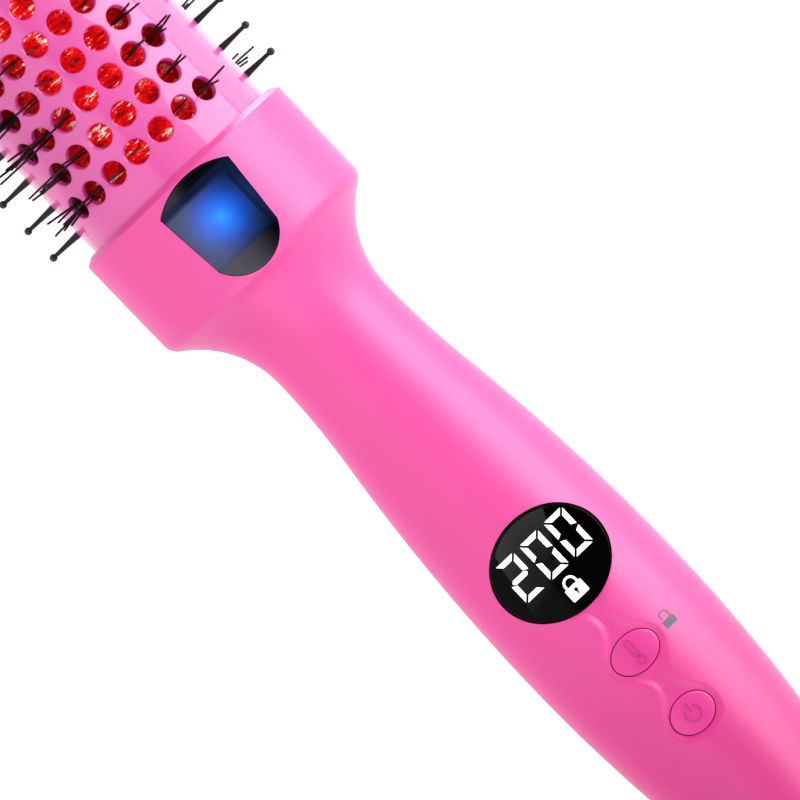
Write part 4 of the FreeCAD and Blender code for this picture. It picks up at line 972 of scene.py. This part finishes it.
def side_strip(name):
    """The plain strip between the cover halves, with a slot round every pin."""
    edges_x, slots = [COVER_X], [ring_x(i - 0.5) for i in range(RING_COUNT + 1)]
    for x in slots:
        edges_x += [x - SLOT_MARGIN, x - SLOT_X, x + SLOT_X]
    edges_x.append(HEAD_X - HEAD_GAP)
    angles = [-a for a in STRIP_ANGLES[::-1]] + [0] + list(STRIP_ANGLES)
    verts, faces, columns = [], [], len(angles)
    for depth in (0.0, COVER_WALL):
        for x in edges_x:
            verts += [polar(x, COVER_R - depth, pi / 2 + radians(a)) for a in angles]
    layer = len(edges_x) * columns
    for face in strip_faces(len(edges_x), columns):
        i, j = divmod(face[0], columns)
        middle = (edges_x[i] + edges_x[i + 1]) / 2
        opened = any(abs(middle - x) < SLOT_X for x in slots)
        if not (opened and abs((angles[j] + angles[j + 1]) / 2) < SLOT_ANGLE):
            faces += [face, tuple(layer + v for v in reversed(face))]
    obj = build_mesh(name, verts, faces)
    with edited(obj) as work:
        work.verts.ensure_lookup_table()
        for edge in [e for e in work.edges if e.is_boundary]:
            a, b = edge.verts[0].index, edge.verts[1].index
            if a < layer and b < layer:
                work.faces.new([work.verts[i] for i in (a, b, b + layer, a + layer)])
    return tidy_mesh(obj, 0.0, 30)


RAIL_HALF, RAIL_BEVEL, RAIL_SINK = 2.9, 0.4, 0.3
BALL_R, FOOT_R, PIN_NECK_R, PIN_STEPS = 0.75, 0.73, 0.41, 16


def ball_pins(name):
    """A rail and its row of ball-ended pins on the -Y side."""
    low, high = box_mm("pin_comb_right")
    rail_top = COVER_R - COVER_WALL - 0.45
    bottom, shoulder = -BARREL_R - RAIL_SINK, RAIL_HALF - RAIL_BEVEL
    outline = [(bottom, -RAIL_HALF), (-rail_top + RAIL_BEVEL, -RAIL_HALF), (-rail_top, -shoulder),
               (-rail_top, shoulder), (-rail_top + RAIL_BEVEL, RAIL_HALF), (bottom, RAIL_HALF)]
    verts = [(x, y, z) for x in (low.x, high.x) for y, z in outline]
    parts = [tidy_mesh(build_mesh("rail", verts, rod_faces(2, len(outline))))]
    centre = PIN_TOP_R - BALL_R
    profile = [(rail_top - 0.3, FOOT_R + 0.12), (COVER_R - 0.2, FOOT_R), (COVER_R + 0.5, FOOT_R - 0.08),
               (COVER_R + 2.6, 0.52), (COVER_R + 4.2, PIN_NECK_R + 0.02),
               (centre - BALL_R - 0.1, PIN_NECK_R)]
    for i in range(9):
        turn = radians(30 + 150 * i / 8)
        profile.append((centre - BALL_R * cos(turn), max(BALL_R * sin(turn), 0.02)))
    for i in range(RING_COUNT + 1):
        middle = (ring_x(i - 0.5), 0.0)
        verts = [(x, -height, z) for height, radius in profile
                 for x, z in circle(middle, radius, PIN_STEPS)]
        parts.append(tidy_mesh(build_mesh("pin", verts, rod_faces(len(profile), PIN_STEPS)), 0.0, 50))
    return joined(name, parts)


TUFT_SEEDS = {"front": 4, "rear": 11}
# how many filaments a tuft may have, by how far to the side it stands
TUFT_COUNTS = ((0.7, (4, 5, 6, 6)), (0.55, (3, 4, 5)), (0.4, (1, 2, 2)), (-1, (0, 0, 1)))
FILAMENT_SIDES, FILAMENT_STEPS, FILAMENT_R, FILAMENT_TAPER = 6, 4, 0.26, 0.12
TUFT_R, SHORTEST_R = 29.1, 25.5  # how far the filaments reach from the axis
ROOT_SPREAD, BEND = 0.8, 0.7  # how far the roots stand apart and the tips bend away
LEAN, TIP = (5, 11), (2, 5)  # most degrees round and along the brush, and what the side adds


def filaments(name, seed):
    """Tufts of fine blunt filaments that fan out of the holes of the front half, in loose bundles."""
    rng = random.Random(seed)
    verts, faces, along = [], [], Vector((1, 0, 0))
    holes = [(ring_x(ring), column) for ring in range(RING_COUNT) for column in ring_columns(ring)]
    for x, column in holes:
        angle = radians(90 - column * COLUMN_ANGLE)
        outward = Vector(polar(0, 1, angle))
        across = outward.cross(along)
        aside = abs(sin(angle))
        for _ in range(rng.choice(next(counts for edge, counts in TUFT_COUNTS if aside > edge))):
            lean = radians(rng.uniform(-1, 1) * (LEAN[0] + LEAN[1] * aside))
            tip = radians(rng.uniform(-1, 1) * (TIP[0] + TIP[1] * aside))
            way = (outward + across * tan(lean) + along * tan(tip)).normalized()
            root = Vector((x + rng.uniform(-ROOT_SPREAD, ROOT_SPREAD), 0, 0))
            root += outward * (BARREL_R + 0.1)
            root += across * rng.uniform(-ROOT_SPREAD, ROOT_SPREAD)
            bend = (across * rng.uniform(-1, 1) + along * rng.uniform(-0.5, 0.5)) * BEND
            length = rng.uniform(SHORTEST_R, TUFT_R) - BARREL_R
            faces += rod_faces(FILAMENT_STEPS + 1, FILAMENT_SIDES, len(verts))
            for i in range(FILAMENT_STEPS + 1):
                t = i / FILAMENT_STEPS
                centre = root + way * (length * t) + bend * t * t
                aside_limit = TUFT_Y / max(abs(centre.y), 1e-6)
                centre.yz = centre.yz * min(1.0, TUFT_R / centre.yz.length, aside_limit)
                for spin in full_turn(FILAMENT_SIDES):
                    offset = across * cos(spin) + along * sin(spin)
                    verts.append(tuple(centre + offset * FILAMENT_R * (1 - FILAMENT_TAPER * t)))
    return tidy_mesh(build_mesh(name, verts, faces), 0.0, 60)


covers = []
for half, opposite in (("front", False), ("rear", True)):
    cover = turned(perforated_half("cover_" + half + "_shell"), opposite)
    tuft = turned(filaments("tufts_" + half, TUFT_SEEDS[half]), opposite)
    covers.append(finish_piece(cover, cover_gloss, "cover_pink", "cover_" + half))
    finish_piece(tuft, bristle_black, "bristle_black", "bristles_" + half)

for side, opposite in (("right", False), ("left", True)):
    strip = turned(side_strip("strip_" + side), opposite)
    pins = turned(ball_pins("pins_" + side), opposite)
    covers.append(finish_piece(strip, cover_gloss, "cover_pink", "side_strip_" + side))
    finish_piece(pins, pin_black, "pin_black", "pin_comb_" + side)

BARREL_WALL, BARREL_END = 1.4, HEAD_X - 0.2
tube = [(COVER_X, BARREL_R), (BARREL_END, BARREL_R), (BARREL_END, BARREL_R - BARREL_WALL),
        (COVER_X, BARREL_R - BARREL_WALL)]
barrel = tidy_mesh(lathe("barrel_tube", tube, 128, True))
finish_piece(barrel, barrel_red, "barrel_red", "heated_barrel")


# ---- tip and cord inlet
def tip_profile():
    """The cap's open end, its rounded edge, the nose and the well of the stopper."""
    nose = 10.0
    profile = [(HEAD_X + 3.0, COVER_R - 4.0), (HEAD_X + 0.25, COVER_R - 4.0),
               (HEAD_X + 0.06, COVER_R - 0.55), (HEAD_X + 0.12, COVER_R - 0.25),
               (HEAD_X + 0.35, COVER_R - 0.06), (HEAD_X + 0.7, COVER_R)]
    for i in range(21):
        turn = pi / 2 * i / 20
        profile.append((TIP_X - nose * (1 - sin(turn)), COVER_R - nose * (1 - cos(turn))))
    profile += [(TIP_X, 3.0), (TIP_X - 0.08, 2.72), (TIP_X - 0.4, 2.55), (TIP_X - 3.0, 2.55)]
    return profile


tip = tidy_mesh(lathe("tip_shell", tip_profile(), 128), 0.0, 40)
finish_piece(tip, soft_touch, "housing_pink", "tip_cap")
plug_profile = [(TIP_X - 2.3, 2.38), (TIP_X - 0.45, 2.38), (TIP_X - 0.28, 2.3), (TIP_X - 0.2, 2.1),
                (TIP_X - 0.16, 1.2), (TIP_X - 0.15, 0.05)]
plug = tidy_mesh(lathe("tip_stopper", plug_profile, 48), 0.0, 40)
finish_piece(plug, button_pink, "button_pink", "tip_plug")


def gland_profile():
    """The cord's bore, its rounded mouth, grip rings, neck and flange."""
    mouth, bore = box_mm("cord_gland")[0].x, 3.25
    inner = [(12.0, 0.05), (12.0, bore), (0.7, bore), (0.2, bore + 0.15), (mouth + 0.02, bore + 0.55)]
    outer = [(mouth, 4.6), (0.15, 5.0), (0.5, 5.3)]
    for i in range(4):
        start, radius, groove = 1.6 + 1.75 * i, 5.42 + 0.17 * i, 0.25
        outer += [(start - 0.1, radius), (start, radius - groove), (start + 0.5, radius - groove),
                  (start + 0.6, radius)]
    outer += [(8.5, 6.1), (8.8, 5.8), (8.8, 4.9), (11.8, 4.9), (11.8, 6.6), (13.8, 6.6), (13.8, 0.05)]
    return inner + outer


gland = tidy_mesh(lathe("cord_sleeve", gland_profile(), 64), 0.0, 30)
finish_piece(gland, rubber_black, "gland_rubber", "cord_gland", body="cord_swivel")

# ---- finish of the inner CAD pieces
INNER_FINISH = (
    (part_black, "ion_generator display_module temperature_switch power_switch power_parts "
                 "contact_block temperature_sensor collar_hub tip_hub"),
    (chamber_white, "lamp_chamber temperature_plunger power_plunger"),
    (board_green, "lamp_board main_board"),
    (steel, "board_screws housing_screws core_springs tip_screw"),
    (aluminium, "heater_core_front heater_core_rear ptc_heater thermal_fuse"),
    (smoke, "status_lamp"), (brass, "contact_pin"), (lead_sleeve, "heater_leads"),
)
for material, names in INNER_FINISH:
    for name in names.split():
        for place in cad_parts[name].material_slots:
            place.material = material

# ---- floor, light and camera
FLOOR_Z, FLOOR_HALF = -0.12, 30.0
FLOOR_LIFT, FLOOR_BOUNCE, FLOOR_FAR_BOUNCE = 0.36, 1.0, 0.45  # glow to the camera, and to reflections
FLOOR_FADE = (0.06, -0.03)  # where along Y the far bounce becomes the full one
WHITE = (1, 1, 1, 1)


def floor_white():
    """Pale floor that takes a faint shadow and shows white to the camera; in reflections it glows with
    painted light, brighter on the -Y side under the key light.
    """
    material, tree, shader = principled("floor_white", (0.84, 0.84, 0.84), 0.9)
    path = node(tree, "LightPath")
    # painted light: reflections see the floor glow brighter towards -Y, where the key light stands
    near = map_range(world_axis(tree, "Y"), FLOOR_FADE, (FLOOR_FAR_BOUNCE, FLOOR_BOUNCE))
    bounce = math_node("MULTIPLY", path.outputs["Is Glossy Ray"], near)
    lift = math_node("MULTIPLY", path.outputs["Is Camera Ray"], FLOOR_LIFT)
    glow = math_node("ADD", bounce, lift)
    feed(shader, {"Emission Strength": glow, "Emission Color": WHITE})
    return material


corners = [(x * FLOOR_HALF, y * FLOOR_HALF, FLOOR_Z) for x, y in ((-1, -1), (1, -1), (1, 1), (-1, 1))]
floor = build_mesh("floor", corners, [(0, 1, 2, 3)], 1.0)
floor.data.materials.append(floor_white())

# the world's brightness by the angle from straight up towards -Y: a broad bounce on the +Y side
SKY = ((-180, 0.60), (-120, 0.75), (-90, 0.95), (-60, 1.05), (-30, 1.10), (-19, 1.02), (-13, 0.20),
       (-7, 0.06), (120, 0.06), (180, 0.5))
SKY_STRENGTH = 1.19


def studio_world():
    """The sky for light and reflections, plain white for the camera."""
    world = bpy.data.worlds.new("studio")
    bpy.context.scene.world = world
    world.use_nodes = True
    tree = world.node_tree
    split = node(tree, "SeparateXYZ", {"Vector": node(tree, "TexCoord").outputs["Generated"]})
    sideways = math_node("MULTIPLY", split.outputs["Y"], -1.0)
    angle = math_node("ARCTAN2", sideways, split.outputs["Z"])
    share = math_node("ADD", math_node("DIVIDE", angle, 2 * pi), 0.5)
    stops = [((bearing + 180) / 360, (value,) * 3) for bearing, value in SKY]
    sky = tree.nodes["Background"]
    feed(sky, {"Color": ramp(share, *stops), "Strength": SKY_STRENGTH})
    seen = node(tree, "Background", {"Color": WHITE})
    shown = node(tree, "MixShader", {"Fac": node(tree, "LightPath").outputs["Is Camera Ray"],
                                     1: sky.outputs["Background"], 2: seen.outputs["Background"]})
    feed(tree.nodes["World Output"], {"Surface": shown.outputs["Shader"]})


studio_world()


def linking_set(name, objects, state):
    """A collection for light linking that includes or excludes these pieces."""
    group = bpy.data.collections.new(name)
    for obj in objects:
        group.objects.link(obj)
    for entry in group.collection_objects:
        entry.light_linking.link_state = state
    return group


def softbox(name, centre, target, width, height, radiance, adds="both", pieces=(), state="INCLUDE"):
    """An area light that faces its target; radiance is what its face shows in a mirror.

    It adds to the soft light on a surface ("diffuse"), to its reflection ("glossy") or to both.
    With pieces it lights only these, or all but these with EXCLUDE.
    """
    data = bpy.data.lights.new(name, "AREA")
    data.shape = "RECTANGLE"
    data.size, data.size_y = width, height
    data.energy = radiance * pi * width * height
    lamp = placed(name, data)
    lamp.location = centre
    lamp.rotation_euler = (Vector(target) - Vector(centre)).to_track_quat("-Z", "Y").to_euler()
    lamp.visible_diffuse, lamp.visible_glossy = adds != "glossy", adds != "diffuse"
    if pieces:
        lamp.light_linking.receiver_collection = linking_set(name + "_set", pieces, state)
    return lamp


def fade_along(lamp, axis, start, end):
    """Fades a lamp's face along a world axis, between two (place, strength) pairs."""
    lamp.data.use_nodes = True
    tree = lamp.data.node_tree
    (first, first_strength), (last, last_strength) = start, end
    fade = map_range(world_axis(tree, axis), (first, last), (first_strength, last_strength))
    feed(tree.nodes["Emission"], {"Strength": fade})


HEAD_AIM, NECK_AIM, COVER_AIM = (0.20, 0.0, 0.0), (0.17, 0.0, 0.0), (0.24, 0.0, 0.0)
softbox("softbox_right", (0.16, -0.97, 0.45), (0.16, 0.0, 0.0), 0.9, 1.02, 4.2,
        pieces=[window, display], state="EXCLUDE")
softbox("softbox_sheen", (0.30, -0.97, 0.45), HEAD_AIM, 0.9, 1.02, 3.2, "glossy", housings + buttons)
softbox("neck_fill", (0.158, -0.03, 0.20), NECK_AIM, 0.12, 0.12, 1.7, "diffuse")
softbox("head_light", (1.05, -0.60, -0.08), (0.19, 0.0, 0.0), 0.6, 0.5, 3.0, pieces=housings)
foil_light = softbox("foil_light", (0.24, 0.0, 1.0), COVER_AIM, 0.7, 1.8, 1.85, pieces=[barrel])
foil_light.light_linking.blocker_collection = linking_set("foil_light_unshaded_by", covers, "EXCLUDE")
softbox("cover_fill", (0.20, -0.27, 0.96), HEAD_AIM, 1.2, 0.83, 0.22, pieces=covers)
cover_card = softbox("cover_card", (0.24, -0.26, 0.94), COVER_AIM, 0.9, 0.90, 1.0, "glossy", covers)
fade_along(cover_card, "Y", (0.18, 0.15), (-0.66, 0.68))

# bright edges that only the housing mirrors: name, centre, target, width, height, radiance
HOUSING_CARDS = (
    ("rim_card", (0.300, -0.092, -0.066), (0.197, -0.018, 0.016), 0.09, 0.09, 13.0),
    ("flare_card", (-0.55, 0.02, 0.72), NECK_AIM, 0.8, 0.8, 2.2),
    ("flare_low", (-0.80, 0.02, 0.14), (0.17, 0.0, 0.01), 0.8, 0.5, 2.4),
    ("neck_card", (-0.60, -0.78, 0.42), (0.17, 0.0, 0.01), 0.45, 0.9, 3.0),
)
for values in HOUSING_CARDS:
    softbox(*values, "glossy", housings)

CARD_Z, CARD_LONG, CARD_SHORT, CARD_Y = 0.268, 0.95, 0.08, 0.12
CARD_EDGE = (89.2, 5.8), (98.2, 2.15)  # two places of the display on the edge of its reflection
CARD_FADE = 100.5, 88.0  # stations from where the reflection is dark to where it is full


def mirrored(station, across):
    """Where on the card's plane a place of the display shows, seen from straight above."""
    slope = float(outline_r(station + 0.5) - outline_r(station - 0.5))
    tilt = asin(across / float(outline_r(station)))
    rise = (CARD_Z - float(top_z(station, across)) * MM) / cos(2 * tilt)
    x = (COLLAR_X - station) * MM + rise * 2 * slope * cos(tilt)
    return x, -across * MM - rise * sin(2 * tilt)


def display_card():
    """A card above the display that only the display mirrors: its slanted edge and its fading light."""
    (x0, y0), (x1, y1) = [mirrored(*place) for place in CARD_EDGE]
    dark, full = [mirrored(station, 0.0)[0] for station in CARD_FADE]
    turn = atan((x0 - x1) / (y1 - y0))
    edge_x = x1 - (CARD_Y - y1) * tan(turn)
    card = softbox("display_card", (0.0, 0.0, 0.0), (0.0, 0.0, -1.0), CARD_SHORT, CARD_LONG, 8.0,
                   "glossy", [display])
    card.rotation_euler = (0.0, 0.0, turn)
    half = CARD_SHORT / 2
    card.location = (edge_x + half * cos(turn), CARD_Y + half * sin(turn), CARD_Z)
    fade_along(card, "X", (dark, 0.0), (full, 1.0))


display_card()

LENS, SENSOR = 1400.0, 36.0
VIEW_WIDTH = 0.1439  # what the photograph's 800 pixels span at VIEW_Z above the brush's axis
VIEW_Z = 0.012
VIEW_X, VIEW_Y = 0.14, -0.0006
AXIS_ANGLE = radians(46.45)  # of the brush in the picture, down from the right
camera_data = bpy.data.cameras.new("camera")
camera_data.lens, camera_data.sensor_width = LENS, SENSOR
camera_data.clip_start, camera_data.clip_end = 0.1, 50.0
camera = placed("camera", camera_data)
right = Vector((-cos(AXIS_ANGLE), -sin(AXIS_ANGLE), 0))
up = Vector((sin(AXIS_ANGLE), -cos(AXIS_ANGLE), 0))
turn = Matrix((right, up, Vector((0, 0, 1)))).transposed().to_4x4()
camera.matrix_world = Matrix.Translation((VIEW_X, VIEW_Y, VIEW_Z + VIEW_WIDTH * LENS / SENSOR)) @ turn
bpy.context.scene.camera = camera
bpy.context.scene.view_settings.view_transform = "Standard"
